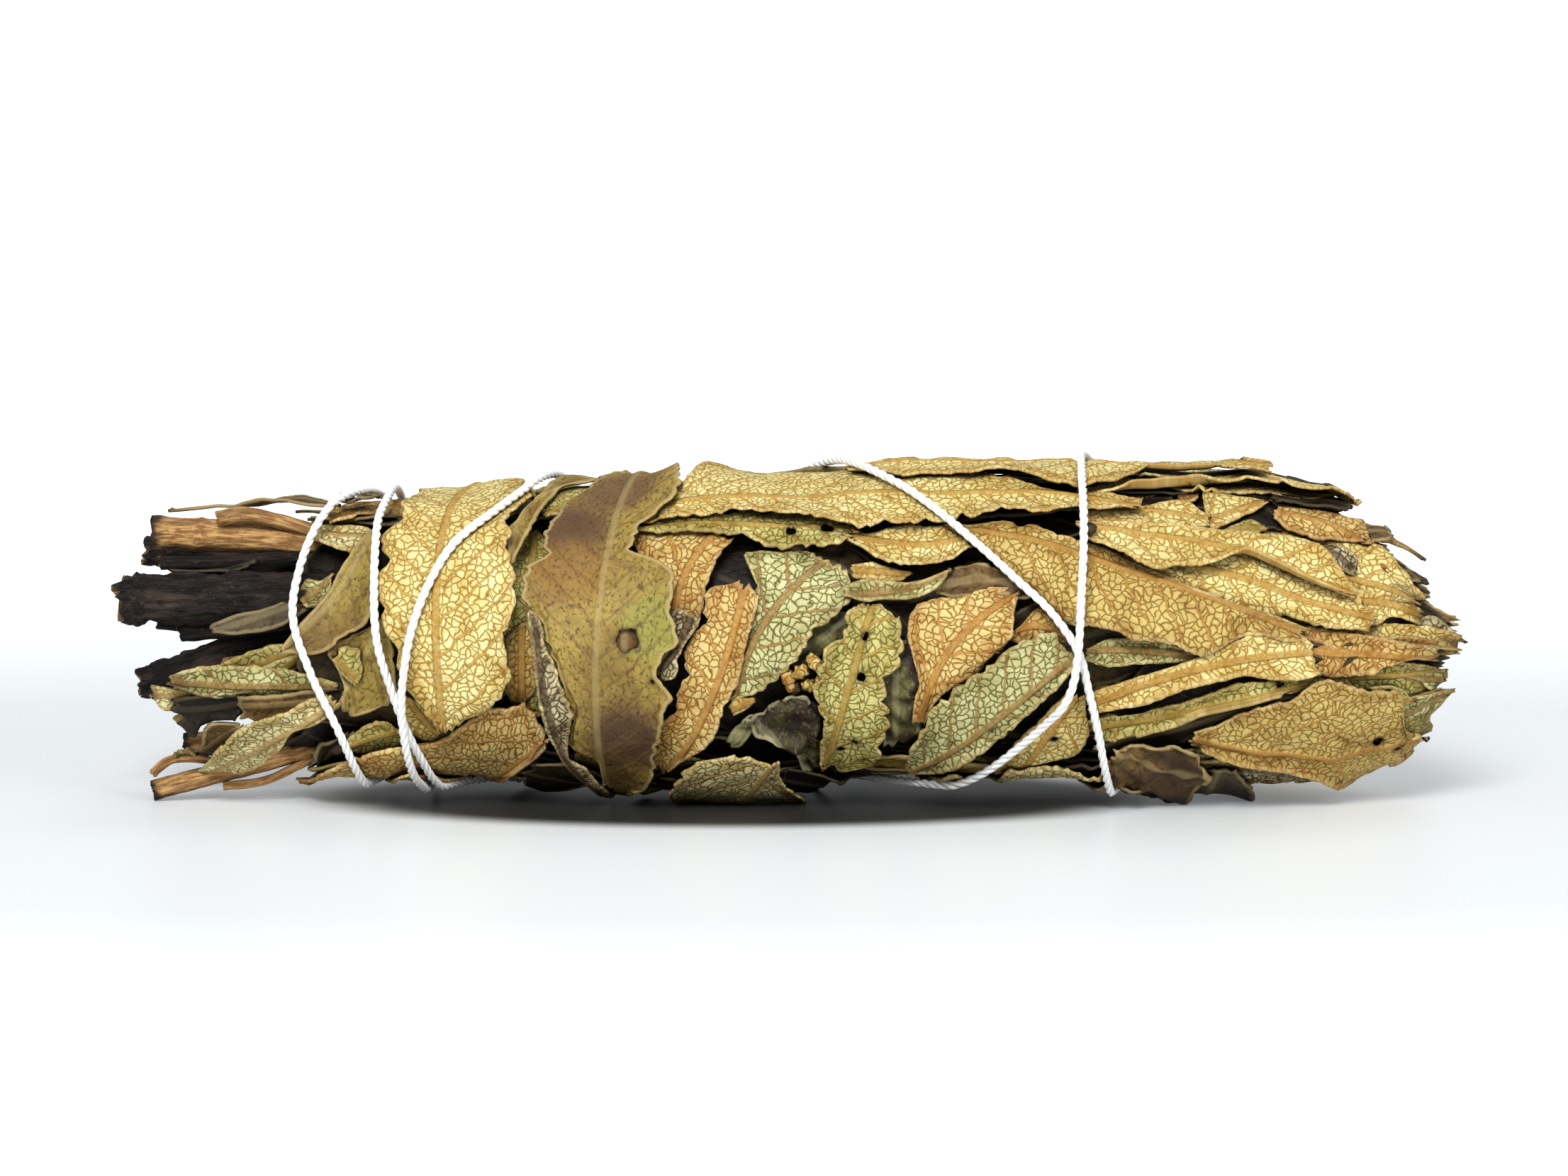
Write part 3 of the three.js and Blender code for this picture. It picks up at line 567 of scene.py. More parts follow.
class Leaf:
    """A leaf's place on the bundle: base and tip as x and degrees, its layer, sideways bow and margins.

    The margins are half widths, left and right of the midrib, at even steps from base to tip. A leaf may
    also have a singed tip, one margin that is lifted, and crumpled folds all over.
    """

    def __init__(self, number, base, tip, layer, bow, left, right, cup=0.1, roll=0.4, teeth=0.25,
                 pitch=1.3, flare=0.0, root=0.0, reversed_veins=False):
        self.number, self.layer, self.bow, self.left, self.right = number, layer, bow, left, right
        self.cup, self.roll, self.teeth, self.pitch = cup, roll, teeth, pitch
        self.flare, self.root, self.reversed_veins = flare, root, reversed_veins
        self.singed = 0.0
        self.lift = 0.0
        self.crumple = 0.0
        self.reach = girth((base[0] + tip[0]) / 2.0) - layer * LAYER
        self.origin = Vector((base[0], math.radians(base[1]) * self.reach))
        self.run = Vector((tip[0], math.radians(tip[1]) * self.reach)) - self.origin
        self.length = self.run.length
        self.ahead = self.run.normalized()
        self.side = Vector((-self.ahead.y, self.ahead.x))
        self.middle = math.degrees((self.origin.y + self.run.y / 2.0) / self.reach)
        self.width = max(left) + max(right)

    def half(self, along, side):
        return along_table(self.left if side > 0 else self.right, along)

    def covers(self, x, degrees, spare=0.5):
        """Whether a place on the wrap lies under this leaf."""
        nearest = degrees + 360.0 * round((self.middle - degrees) / 360.0)
        dx = x - self.origin.x
        dy = math.radians(nearest) * self.reach - self.origin.y
        along = (dx * self.ahead.x + dy * self.ahead.y) / self.length
        if along < -0.02 or along > 1.02:
            return False
        across = dx * self.side.x + dy * self.side.y - self.bow * math.sin(math.pi * along)
        return abs(across) < self.half(along, across) + spare

    def near(self, other):
        """Whether another leaf is near enough to lie over this one."""
        turned = abs((other.middle - self.middle + 180.0) % 360.0 - 180.0)
        apart = self.origin.x + self.run.x / 2.0 - other.origin.x - other.run.x / 2.0
        room = (self.length + other.length + self.width + other.width) / 2.0 + 2.0
        return math.hypot(apart, math.radians(turned) * self.reach) < room


def plain_margins(width, start=0.05, end=0.95, petiole=False):
    """Half widths of a plain lance-shaped leaf of a given width, from a share along it to another."""
    margins = []
    for i in range(11):
        full = outline(start + (end - start) * i / 10.0)
        if petiole:
            full *= smooth((i / 10.0 - 0.12) / 0.25)
        margins.append(max(0.35, full * width / 2.0))
    return margins


def section(w, half, cup, roll):
    """Where a point w mm out from the midrib comes to lie, sideways and up, on a cupped, rolled blade."""
    edge = max(half * 0.4, half - 1.6)
    flat = min(w, edge)
    bend = cup / max(half, 1.0)
    angle = bend * flat
    y = flat if abs(bend) < 1e-4 else math.sin(angle) / bend
    up = 0.0 if abs(bend) < 1e-4 else (1.0 - math.cos(angle)) / bend
    if w > edge and abs(roll) > 1e-3:
        curl = roll / 1.6
        end = angle + curl * (w - edge)
        y += (math.sin(end) - math.sin(angle)) / curl
        up += (math.cos(angle) - math.cos(end)) / curl
    else:
        y += (w - flat) * math.cos(angle)
        up += (w - flat) * math.sin(angle)
    return y, up


def margin_cut(leaf, s_mm, side):
    """How far the toothed, worn margin stands out from its smooth line."""
    seed = leaf.number * 3.7 + (40.0 if side > 0 else 0.0)
    stray = 0.55 * noise.noise(Vector((s_mm * 0.45, seed, 1.0)))
    part = (s_mm / leaf.pitch + stray) % 1.0
    saw = part / 0.72 if part < 0.72 else (1.0 - part) / 0.28
    size = leaf.teeth * (0.75 + 0.7 * noise.noise(Vector((s_mm * 0.31, seed, 4.0))))
    big = min(1.0, leaf.width / 5.0)
    lobes = 0.3 * big * noise.noise(Vector((s_mm * 0.24, seed, 7.0)))
    torn = min(0.0, noise.noise(Vector((s_mm * 0.6, seed, 11.0))) + 0.42) * 2.2 * big
    if leaf.teeth > 0.5:
        saw = abs(math.sin(math.pi * part)) ** 0.6
    worn = 0.16 * big * noise.noise(Vector((s_mm * 2.1, seed, 15.0)))
    return size * (saw - 0.6) + lobes + torn + worn


def own_layers(bm):
    """The attributes that the finishes read: a point's place on its leaf or stem, and how singed it is."""
    layers = bm.verts.layers
    place = layers.float_vector.get("place") or layers.float_vector.new("place")
    age = layers.float.get("age") or layers.float.new("age")
    return place, age


def shape_leaf(bm, leaf, above, step, holes=()):
    """Adds one blade to a bmesh: a grid whose points are moved onto the bundle."""
    place_layer, age_layer = own_layers(bm)
    along_cells = max(12, round(leaf.length / step))
    across_cells = max(8, 2 * round(leaf.width / step / 2.6))
    grid = bmesh.ops.create_grid(bm, x_segments=along_cells, y_segments=across_cells, size=0.5)
    seed = leaf.number * 17.3
    covering = [other for other in above if other is not leaf]
    doomed = []
    for vert in grid["verts"]:
        along = vert.co.x + 0.5
        side = vert.co.y * 2.0
        sign = 1.0 if side > 0 else -1.0
        s_mm = along * leaf.length
        half = leaf.half(along, side)
        slim = min(1.0, half / 1.8)
        toothed = max(0.1, half + slim * abs(side) ** 4 * margin_cut(leaf, s_mm, side))
        w = toothed * abs(side)
        ends = math.sin(math.pi * min(1.0, max(0.0, along))) ** 0.5
        local = noise.noise(Vector((s_mm * 0.11 + seed, side * 0.8, 2.0)))
        y, up = section(w, toothed, leaf.cup * (0.7 + 0.6 * local), leaf.roll * (0.35 + 1.8 * local) * slim)
        ragged = 1.1 * min(1.0, leaf.width / 5.0)
        torn = along ** 9 * ragged * noise.noise(Vector((side * 2.7, seed, 5.0)))
        torn -= (1.0 - along) ** 9 * ragged * noise.noise(Vector((side * 2.7, seed, 8.0)))
        lateral = y * sign + leaf.bow * math.sin(math.pi * along)
        flat = leaf.origin + leaf.ahead * (s_mm + torn) + leaf.side * lateral
        near_hole = 9.0
        for hole_along, hole_across, hole_size in holes:
            off = Vector((s_mm - hole_along, w * sign - hole_across))
            far = off.length
            rim = hole_size * (1.0 + 0.3 * noise.noise(Vector((off.x, off.y, seed))))
            if far < rim:
                doomed.append(vert)
            elif far < rim + 3.0 * step:
                pull = (far - rim - max(0.0, far - rim - 1.1 * step) * 3.0 / 1.9) / far
                flat -= (leaf.ahead * off.x + leaf.side * off.y) * pull
            near_hole = min(near_hole, far - rim)
        sunk = leaf.root * (1.0 - smooth(along / 0.3))
        radius = leaf.reach - sunk
        middle = (leaf.origin.y + leaf.run.y * along) / leaf.reach
        angle = middle + (flat.y - middle * leaf.reach) / radius
        degrees = math.degrees(angle)
        ruffle = RUFFLE * side * side * noise.noise(Vector((s_mm * 0.24, seed, side * 0.7)))
        dent = 0.24 * noise.noise(Vector((flat.x * 0.17, angle * 2.6, seed)))
        dent += 0.1 * noise.noise(Vector((s_mm * 0.55, w * sign * 0.55, seed)))
        rib = 0.2 * math.exp(-(w / 0.38) ** 2) * min(1.0, leaf.width / 4.0)
        grown_mm = leaf.length - s_mm if leaf.reversed_veins else s_mm
        swept = (grown_mm - SIDE_VEIN_SLOPE * w - SIDE_VEIN_CURVE * w * w) / SIDE_VEIN_GAP
        pucker = 0.07 * slim * (abs((swept % 1.0) - 0.5) * 2.0 - 0.5) * min(1.0, w)
        rise = up + ruffle * 1.8 * slim + dent + pucker + leaf.flare * along ** 3
        rise += abs(leaf.lift) * max(0.0, side * math.copysign(1.0, leaf.lift)) ** 2 * ends
        rise += leaf.crumple * (abs(noise.noise(Vector((s_mm * 0.42, w * sign * 0.5, seed)))) * 3.0 - 0.5)
        out = -leaf.layer * LAYER + rise + rib - sunk
        if out > PRESSED_TO:
            for other in covering:
                if other.covers(flat.x, degrees):
                    out = min(out, -other.layer * LAYER - LEAF_GAP)
            far, lowered = from_string(flat.x, degrees)
            out = min(out, STRING_LIFT + lowered - STRING_RADIUS - 0.03 + 0.75 * max(0.0, far - 0.55))
        vert.co = on_bundle(flat.x, angle, out)
        margin = min(toothed - w, s_mm + torn * 0.5, leaf.length - s_mm)
        vert[place_layer] = Vector((grown_mm + leaf.number * 61.0, w * sign, margin))
        singed = smooth((along - 0.8) / 0.2) * max(0.0, noise.noise(Vector((side * 1.3, seed, 3.0))) + 0.5)
        vert[age_layer] = max(0.0, 1.0 - near_hole / 0.5, singed * leaf.singed)
    if doomed:
        bmesh.ops.delete(bm, geom=doomed, context="VERTS")


def leaf_piece(name, shapes, finish, step, holes=()):
    """One object of one or more blades, each given with the leaves that lie over it; step is in mm."""
    bm = bmesh.new()
    for leaf, above in shapes:
        shape_leaf(bm, leaf, above, step, holes)
    for face in bm.faces:
        face.smooth = True
    mesh = bpy.data.meshes.new(name)
    bm.to_mesh(mesh)
    bm.free()
    piece = new_object(name, mesh, [finish])
    thick = piece.modifiers.new("blade thickness", "SOLIDIFY")
    thick.thickness = THICKNESS * MM
    thick.offset = -1.0
    return piece


# Columns: name, base, tip, layer, bow, finish, cup, roll, teeth, tooth pitch, and then the half widths
# to the left and to the right of the midrib.
FRONT = [
    ("leaf_front_01", (-27.5, 106), (-30.4, -30), 0, -1.8, 0, 0.1, 0.3, 0.48, 2.1,
     (2.3, 3.4, 4.6, 5.3, 5.9, 6.6, 6.1, 5.6, 5.4, 6.1, 5.9, 6.7, 6.8, 7, 6.7, 6.1, 6.1, 6.4, 5.8,
      4.8, 2.8, 1.2),
     (2.1, 3.1, 4.2, 4.3, 4.5, 4.5, 4.4, 3.9, 4, 5.3, 5.2, 4.4, 5.5, 5.1, 4.7, 4.8, 3.5, 3.4, 3.1,
      2.2, 1.2, 0.4)),
    ("leaf_front_02", (-36.6, 60), (-44.7, 5), 1.6, 0.9, 4, 0.9, 0.2, 0.1, 2,
     (0.1, 1.1, 2.2, 3.6, 4.2, 3.8, 3.1, 2.4, 0.1),
     (0.3, 0.7, 0.9, 1, 0.7, 0.7, 0.6, 0.5, 0.1)),
    ("leaf_front_03", (-35.7, 15), (-39.6, -21), 2.2, -0.1, 4, 0.3, 0.8, 0.3, 1.3,
     (0.2, 1.6, 2.6, 3.6, 4, 3.7, 1.8),
     (0.3, 1.2, 2.6, 3.5, 1.7, 0.1, 0.1)),
    ("leaf_front_04", (-21.6, -34), (-43.2, -82), 0.9, 5.4, 2, 0.15, 0.3, 0.12, 1.5,
     (0.4, 0.4, 0.3, 0.2, 0.6, 1.5, 1.9, 0.9, 0.1, 0.1, 0.1, 0.1, 0.1, 0.1, 0.1, 0.1),
     (3.9, 5.1, 6.9, 7.4, 7.7, 7.9, 8.2, 9.2, 10, 10.1, 9.8, 9.1, 7.8, 5.7, 3.1, 0.9)),
    ("leaf_front_05", (-22.5, 66), (-23.2, -34), 3.0, 0, 1, 0, 0, 0.2, 1.2,
     (1.7, 2, 2.4, 2.8, 3.2, 3.3, 3.3, 3.4, 3.5, 3.3, 3.1, 2.9, 0.4),
     (3.8, 3.9, 3.8, 3.8, 3.7, 3.6, 3.4, 3.2, 3, 2.8, 2.2, 1.2, 0.3)),
    ("leaf_front_06", (-16.4, 96), (-24.5, 37), 0.5, -2.6, 4, 0.8, 0.3, 0.15, 1.5,
     (0.2, 1.2, 0.1, 0.3, 1.1, 1.5, 1.6, 1.6, 1.3, 0.9, 0.3),
     (0.3, 2.1, 1.8, 1, 0.3, 0.1, 0.1, 0.1, 0.7, 0.5, 0.1)),
    ("leaf_front_07", (-12.6, 98), (-15.6, -78), 0, -2.7, 4, 0.15, 0.35, 0.42, 1.7,
     (2.8, 3.1, 3.5, 3.9, 4.4, 4.8, 4.7, 3.7, 2.4, 2.2, 2.1, 5.7, 6.4, 6.3, 6.6, 7.1, 5.8, 5.4, 6.6,
      6.1, 5.8, 5.3, 5, 4.9, 4.4, 3.6, 2.4, 2, 1.6, 1.2),
     (1.7, 2.6, 3.4, 3.5, 3.9, 5.3, 5.3, 5.3, 5.8, 6, 5.5, 6.6, 6.8, 6.7, 5.4, 4.7, 4.1, 3.3, 2.9,
      2.7, 2.2, 2.6, 2.6, 0.2, 0.1, 0.1, 0.1, 0.1, 0.1, 0.1)),
    ("leaf_front_08", (-22.4, 17), (-16, -69), -0.35, -1.4, 6, 0.05, 0.1, 0.3, 1.3,
     (0.1, 0.7, 0.7, 1.3, 1.5, 1.8, 2.1, 1.3, 0.7, 0.3, 1, 0.9, 0.8, 0.8, 0.3),
     (0.6, 0.5, 0.5, 0.5, 0.6, 0.7, 0.7, 0.8, 0.6, 0.6, 0.5, 0.4, 0.4, 0.6, 0.8)),
    ("leaf_front_09", (-6.3, 49), (-10.4, 7), 1.5, -1, 2, 0.1, 0.3, 0.2, 1.3,
     (1.8, 1.8, 2, 2.1, 2.6, 2.1, 0.7),
     (1.1, 7, 5.6, 3.7, 2.4, 1.7, 1.4)),
    ("leaf_front_10", (-3.8, 25), (-10.9, -51), 0.9, 0.8, 2, 0.1, 0.4, 0.3, 1.3,
     (1.4, 1.5, 1.4, 1.3, 1.4, 1.6, 1.6, 1.4, 1.4, 1.4, 1.1, 0.6, 0.2, 0.1),
     (0.8, 3.2, 3.1, 3.4, 3.5, 3.5, 3.1, 3.2, 2.7, 2.9, 3, 2.2, 1.9, 1.3)),
    ("leaf_front_11", (3.3, 35), (-4.9, -17), 1.5, -1.5, 3, 0.15, 0.3, 0.35, 1.3,
     (2.2, 4.3, 4.5, 4.3, 4.1, 4, 3.6, 2.9, 1.9, 0.3),
     (2, 4, 5.3, 2.9, 2.1, 1.5, 1.1, 0.8, 0.7, 0.6)),
    ("leaf_front_12", (7.4, 18), (3.1, -48), 0.9, -0.2, 1, 0.15, 0.35, 0.75, 1.9,
     (2.6, 3.1, 3.6, 3.5, 2.7, 3.3, 3.9, 4.4, 4, 4.2, 3.8, 2.9),
     (0.8, 1.9, 1.6, 2.7, 3, 3.1, 2.5, 1.5, 1, 0.9, 0.6, 0.2)),
    ("leaf_front_13", (20.1, 22), (11.3, -26), 1.4, -1.8, 2, 0.15, 0.3, 0.3, 1.3,
     (0.1, 1.4, 3.1, 3.6, 3.2, 2.9, 1.9, 1.1, 0.8, 0.5),
     (0.9, 2.3, 3.1, 4.4, 4.7, 4.3, 2.8, 1.1, 1, 0.6)),
    ("leaf_front_14", (25.1, -1), (10.6, -48), 0.7, -0.1, 3, 0.2, 0.3, 0.45, 1.7,
     (0.4, 0.9, 1.2, 1.2, 1.3, 1.5, 1.6, 1.6, 1.5, 1.3, 1.3, 1.1, 0.1),
     (3.1, 3.7, 4.2, 4.3, 4.4, 4.6, 4.7, 4.7, 4.6, 3.9, 3.1, 2.1, 0.7)),
    ("leaf_front_15", (25.4, -16), (18.9, -82), 1.6, -1.1, 0, 0.15, 0.2, 0.15, 1.4,
     (1, 1.8, 3, 3.5, 3.1, 1.6, 0.1, 0.1, 0.1, 0.1, 0.2, 0.2),
     (0.6, 1, 1.3, 1.7, 2.1, 2.2, 2.3, 2.4, 1.6, 1, 0.4, 0.1)),
    ("leaf_front_16", (28.9, -82), (7.6, -82), 1.1, 0, 11, 0.1, 0.5, 0.3, 1.2,
     (0.1, 0.1, 0.1, 0.1, 0.1, 0.1, 0.1, 0.1, 0.1, 0.1, 0.1, 0.1, 0.1, 0.1),
     (8, 8, 8.1, 8.5, 8.5, 8.2, 8.3, 2.8, 6.5, 8.8, 4.7, 0.1, 0.1, 0.1)),
    ("leaf_front_17", (-3.3, -25), (2.4, -48), 1.2, 0, 10, 0.5, 1.2, 0.7, 2.1,
     (4.6, 5.5, 5.4, 4.8, 3.2, 2.2, 1.3),
     (0.3, 0.8, 0.1, 0.1, 0.1, 0.6, 0.8)),
    ("leaf_front_18", (31, 56), (-13.3, 59), 0.42, -1.9, 0, 0.1, 0.4, 0.4, 1.7,
     (0.2, 0.5, 1.1, 1.6, 2.2, 2.9, 3.3, 3.1, 3, 3.5, 3.8, 3.8, 3.9, 4.5, 4.6, 4.5, 5.3, 4.8, 4.4,
      3.9, 3.5, 3.1, 2.8, 2.6, 2.5, 2.4, 2.3, 2.2, 1.8, 1.5),
     (1.6, 1.5, 1.2, 0.8, 0.5, 0.6, 1.1, 2.1, 3.1, 3.7, 3.8, 3.8, 3.6, 3.6, 3.7, 5, 6.8, 8.3, 8.3,
      8.4, 8.4, 8.5, 8.7, 8.8, 8.9, 7.3, 3.8, 2.1, 0.1, 0.1)),
    ("leaf_front_19", (5.8, 48), (-13.3, 52), 0.72, 0.1, 1, 0.1, 0.4, 0.4, 1.6,
     (1, 2, 2.1, 2.2, 2.5, 2.1, 1.1, 1, 1, 0.9, 0.9, 0.8, 0.4),
     (1.2, 2.5, 2.9, 2.7, 2.4, 1.8, 2.2, 1.3, 1.2, 1.2, 1.1, 0.6, 0.2)),
    ("leaf_front_20", (17.4, 47), (5.2, 45), 1.2, 1, 0, 0.2, 0.4, 0.25, 1.3,
     (0.2, 1.6, 2.5, 2.6, 2.6, 2.2, 1.2, 0.2),
     (0.1, 1.7, 2.2, 2.2, 2.2, 1.4, 0.7, 0.6)),
    ("leaf_front_21", (14.3, 30), (4.9, 21), 0.6, 0.7, 3, 1.2, 1.2, 0.15, 1.2,
     (0.2, 0.9, 1.1, 0.9, 0.6, 0.7, 0.3),
     (0.2, 0.3, 0.4, 0.8, 1.2, 1.3, 0.7)),
    ("leaf_front_22", (14.2, 49), (45.4, 8), 0.75, 0.3, 9, 0.1, 0.15, 0.12, 1.6,
     (0.3, 0.6, 1.2, 1.8, 1.7, 1.5, 1.3, 1.3, 1.3, 1.3, 1.1, 0.9, 0.7, 0.5, 0.3, 0.2, 0.2, 0.2, 0.4,
      0.6, 0.6, 0.6),
     (0.1, 0.6, 1.7, 2.6, 3.5, 4.2, 4.8, 5.3, 6.3, 6.1, 5.8, 5.6, 5.7, 5.3, 5, 5.1, 5, 3.4, 1.9,
      1.4, 1.3, 0.7)),
    ("leaf_front_23", (25.8, 45), (49.6, 23), 0.4, 1.2, 0, 0.2, 0.8, 0.25, 2.2,
     (0.4, 0.6, 1, 1.3, 1.5, 1.7, 1.7, 1.8, 2, 2.4, 3, 3.7, 3.9, 3.4, 2, 0.8),
     (0.9, 1.9, 2.4, 3, 3.7, 3.5, 2.9, 2.5, 1.2, 0.1, 0.1, 0.1, 0.1, 0.1, 0.1, 0.1)),
    ("leaf_front_24", (30.4, 37), (51.5, 14), 1.1, 0.2, 0, 0.1, 0.2, 0.15, 1.6,
     (0.5, 0.8, 1.2, 1.6, 2, 2.6, 3.3, 4, 4.5, 4.7, 4.2, 3.3, 2.3, 1.8, 0.9),
     (0.1, 1.6, 2.1, 2.4, 2.6, 2.8, 2.9, 2.8, 2.7, 2.4, 2.3, 2.2, 1.9, 1.6, 1.4)),
    ("leaf_front_25", (26.4, -19), (46, 1), 0.9, 1.2, 0, 0.4, 0.4, 0.12, 1.4,
     (0.8, 0.9, 0.8, 0.8, 0.8, 0.8, 0.9, 1.1, 1.4, 1.8, 2.2, 2.2, 2, 1.6),
     (0.9, 1.1, 1.3, 1.4, 1.3, 1.2, 1.1, 1.1, 1.2, 1.3, 1.8, 2.1, 2.2, 2.1)),
    ("leaf_front_26", (26.7, -30), (45.8, -12), 1.3, 0.3, 1, 0.4, 0.4, 0.12, 1.4,
     (0.9, 1, 1.1, 1, 1, 1, 1.1, 1.4, 1.8, 1.6, 1.4, 1.1, 0.7),
     (1.3, 1.4, 1.3, 1.1, 0.9, 0.6, 0.1, 0.1, 0.1, 0.1, 0.1, 0.5, 0.3)),
    ("leaf_front_27", (26.1, 1), (36.5, -1), 1.9, 0.3, 3, 0.2, 0.2, 0.1, 1.4,
     (0.1, 0.9, 1, 1, 0.9, 0.5, 0.1),
     (1, 1.5, 1.4, 1.2, 1, 0.6, 0.1)),
    ("leaf_front_28", (35.6, -32), (55.4, -52), 0.8, -0.3, 9, 0.2, 0.3, 0.2, 1.8,
     (1, 1.9, 3.4, 4.5, 5.3, 6.3, 8.2, 8.4, 7.9, 7.3, 7.4, 7.4, 2.8, 0.1),
     (0.8, 1, 1.1, 1.2, 1.3, 1.5, 1.8, 2.1, 2.5, 3.8, 5.5, 7.2, 5.1, 5.5)),
    ("leaf_front_29", (25.8, 65), (50.5, 96), 1.0, 0.3, 0, 0.2, 0.3, 0.2, 1.6,
     (0.7, 1.1, 1.7, 2.2, 2.7, 3.3, 4, 4.1, 2.5, 0.5, 0.1, 0.1, 0.1, 0.1, 0.1, 0.1, 0.1),
     (0.8, 0.7, 0.6, 0.1, 0.1, 0.1, 0.3, 0.6, 3, 3.2, 4.1, 4, 4.6, 4.8, 4, 3.3, 0.8)),
    ("leaf_front_30", (26, 56), (37.1, 56), 1.5, 0.8, 0, 0.2, 0.9, 0.1, 1.6,
     (0.9, 0.6, 0.5, 0.8, 1.6, 2.1, 0.4),
     (1, 1.4, 1.7, 1.9, 2, 1.8, 0.9)),
    ("leaf_front_31", (43.1, 63), (51.2, 54), 1.9, 0.8, 2, 0.2, 0.6, 0.2, 1.6,
     (1.2, 1.7, 2.3, 2.8, 3.5, 4.4, 0.2),
     (0.8, 2.2, 2.6, 2.7, 1.8, 0.8, 0.1)),
    ("leaf_front_32", (-39.7, -18), (-52.5, -78), 0.9, -1.2, 11, 0.3, 0.4, 0.15, 1.6,
     (0.3, 0.7, 0.6, 0.1, 0.8, 1.3, 1.7, 2, 2.1, 2, 1.8, 0.9),
     (0.8, 1.8, 1.9, 2.5, 3.1, 3.1, 2.8, 2.6, 2, 1.4, 0.9, 0.5)),
    ("leaf_under_01", (-1.3, -42), (-5.2, -108), 0.2, -1.4, 11, 0.1, 0.5, 0.35, 1.6,
     (0.6, 1.3, 2.4, 4.1, 5.5, 5.8, 6, 0.1, 0.1, 0.1, 0.1, 0.1),
     (4, 6.5, 6.9, 6.9, 6.7, 6.1, 5.3, 4.6, 4, 3.5, 2.9, 2.3)),
]
# Columns: name, base, tip, width, layer, flare, finish.
ROUND_THE_BACK = [
    ("leaf_under_02", (38.0, -50), (37.4, -130), 9.0, 0.9, 0, 5),
    ("leaf_under_03", (-17.0, -96), (-42.0, -110), 8.6, 1, 0, 0),
    ("leaf_under_04", (7.0, -92), (29.0, -102), 9.4, 1, 0, 2),
    ("leaf_back_01", (-10.0, 116), (-42.4, 104), 9.4, 2, 0, 1),
    ("leaf_back_02", (-26.0, 182), (-33.0, 118), 11.0, 0, 0, 4),
    ("leaf_back_03", (-12.0, 160), (-41.6, 150), 9.0, 1, 0, 0),
    ("leaf_back_04", (-14.0, 208), (-42.0, 196), 10.0, 1, 0, 2),
    ("leaf_back_05", (-30.0, 246), (-22.0, 190), 9.0, 0, 0, 3),
    ("leaf_back_06", (-4.0, 214), (-12.0, 112), 11.4, 0, 0, 0),
    ("leaf_back_07", (18.0, 118), (-14.0, 138), 9.6, 1, 0, 2),
    ("leaf_back_08", (26.0, 164), (-8.0, 178), 10.4, 1, 0, 1),
    ("leaf_back_09", (4.0, 224), (14.0, 134), 11.6, 0, 0, 4),
    ("leaf_back_10", (24.0, 206), (-10.0, 226), 9.8, 2, 0, 0),
    ("leaf_back_11", (20.0, 104), (47.0, 92), 8.4, 0.4, -2.4, 3),
    ("leaf_back_12", (22.0, 142), (48.6, 128), 9.4, 0, -0.8, 0),
    ("leaf_back_13", (20.0, 182), (49.0, 170), 10.0, 0, 0.5, 1),
    ("leaf_back_14", (18.0, 224), (50.0, 212), 9.4, 1, 0.5, 2),
    ("leaf_back_15", (27.0, 250), (53.0, 246), 8.0, 2, 0.5, 0),
]
# Holes eaten through a leaf: distance from its base, distance to the left of the midrib, and radius.
EATEN = {
    "leaf_front_07": [(23.2, 2.7, 1.0), (26.6, 5.0, 0.22)],
    "leaf_front_12": [(2.9, 0.1, 0.38), (6.5, 0.8, 0.42), (13.1, 1.9, 0.3), (14.5, 0.9, 0.34)],
    "leaf_front_19": [(5.6, 0.7, 0.45), (2.4, 0.1, 0.6)],
    "leaf_front_26": [(17.1, 0.8, 0.32)],
    "leaf_front_15": [(5.1, 0.8, 0.3)],
    "leaf_front_28": [(16.8, 1.1, 0.55), (19.3, -0.6, 0.5)],
}
STAINED = smooth_finish("smooth_stained", (0.35, 0.255, 0.065), (0.235, 0.16, 0.045),
                        (0.06, 0.035, 0.015), (0.13, 0.075, 0.025), [
                            (397.7, -3.9, 5.4, (0.085, 0.04, 0.03)), (378.1, 2.6, 4.6, (0.075, 0.04, 0.03)),
                            (388.5, 5.2, 4.0, (0.29, 0.275, 0.065)), (403.4, -0.7, 4.6, (0.16, 0.09, 0.045)),
                            (393.5, -3.0, 4.4, (0.27, 0.155, 0.04)), (374.1, 0.5, 3.6, (0.14, 0.085, 0.03)),
                        ])
OWN_FINISH = {"leaf_front_07": STAINED}
# Leaves whose own tip points up or to the right, against the way that they are laid.
LAID_BACK = {"leaf_front_%02d" % k for k in (1, 7, 8, 9, 10, 11, 12, 13, 14, 18, 19, 20, 21)}
# A margin that stands off what lies under it, in millimetres: the left one of the leaf, or the right if
# negative. Crumpled leaves have sharp folds all over.
STANDING = {"leaf_front_23": -1.3, "leaf_front_29": -1.0, "leaf_front_18": 0.9, "leaf_front_24": -0.9,
            "leaf_front_20": 0.7, "leaf_front_07": 0.7, "leaf_front_01": 0.5, "leaf_front_11": 0.8,
            "leaf_front_13": 0.7, "leaf_front_14": 0.6, "leaf_front_22": -0.5, "leaf_front_28": -0.8,
            "leaf_front_25": -0.7, "leaf_front_26": -0.7, "leaf_front_10": 0.5, "leaf_front_12": -0.5,
            "leaf_front_04": 0.6, "scrap_19": 0.4}
CRUMPLED = {"leaf_front_17": 1.1, "scrap_33": 0.6, "scrap_34": 0.6, "scrap_17": 0.6, "scrap_11": 0.5,
            "scrap_72": 0.5, "scrap_35": 0.5, "leaf_front_03": 0.35}
wrap = []
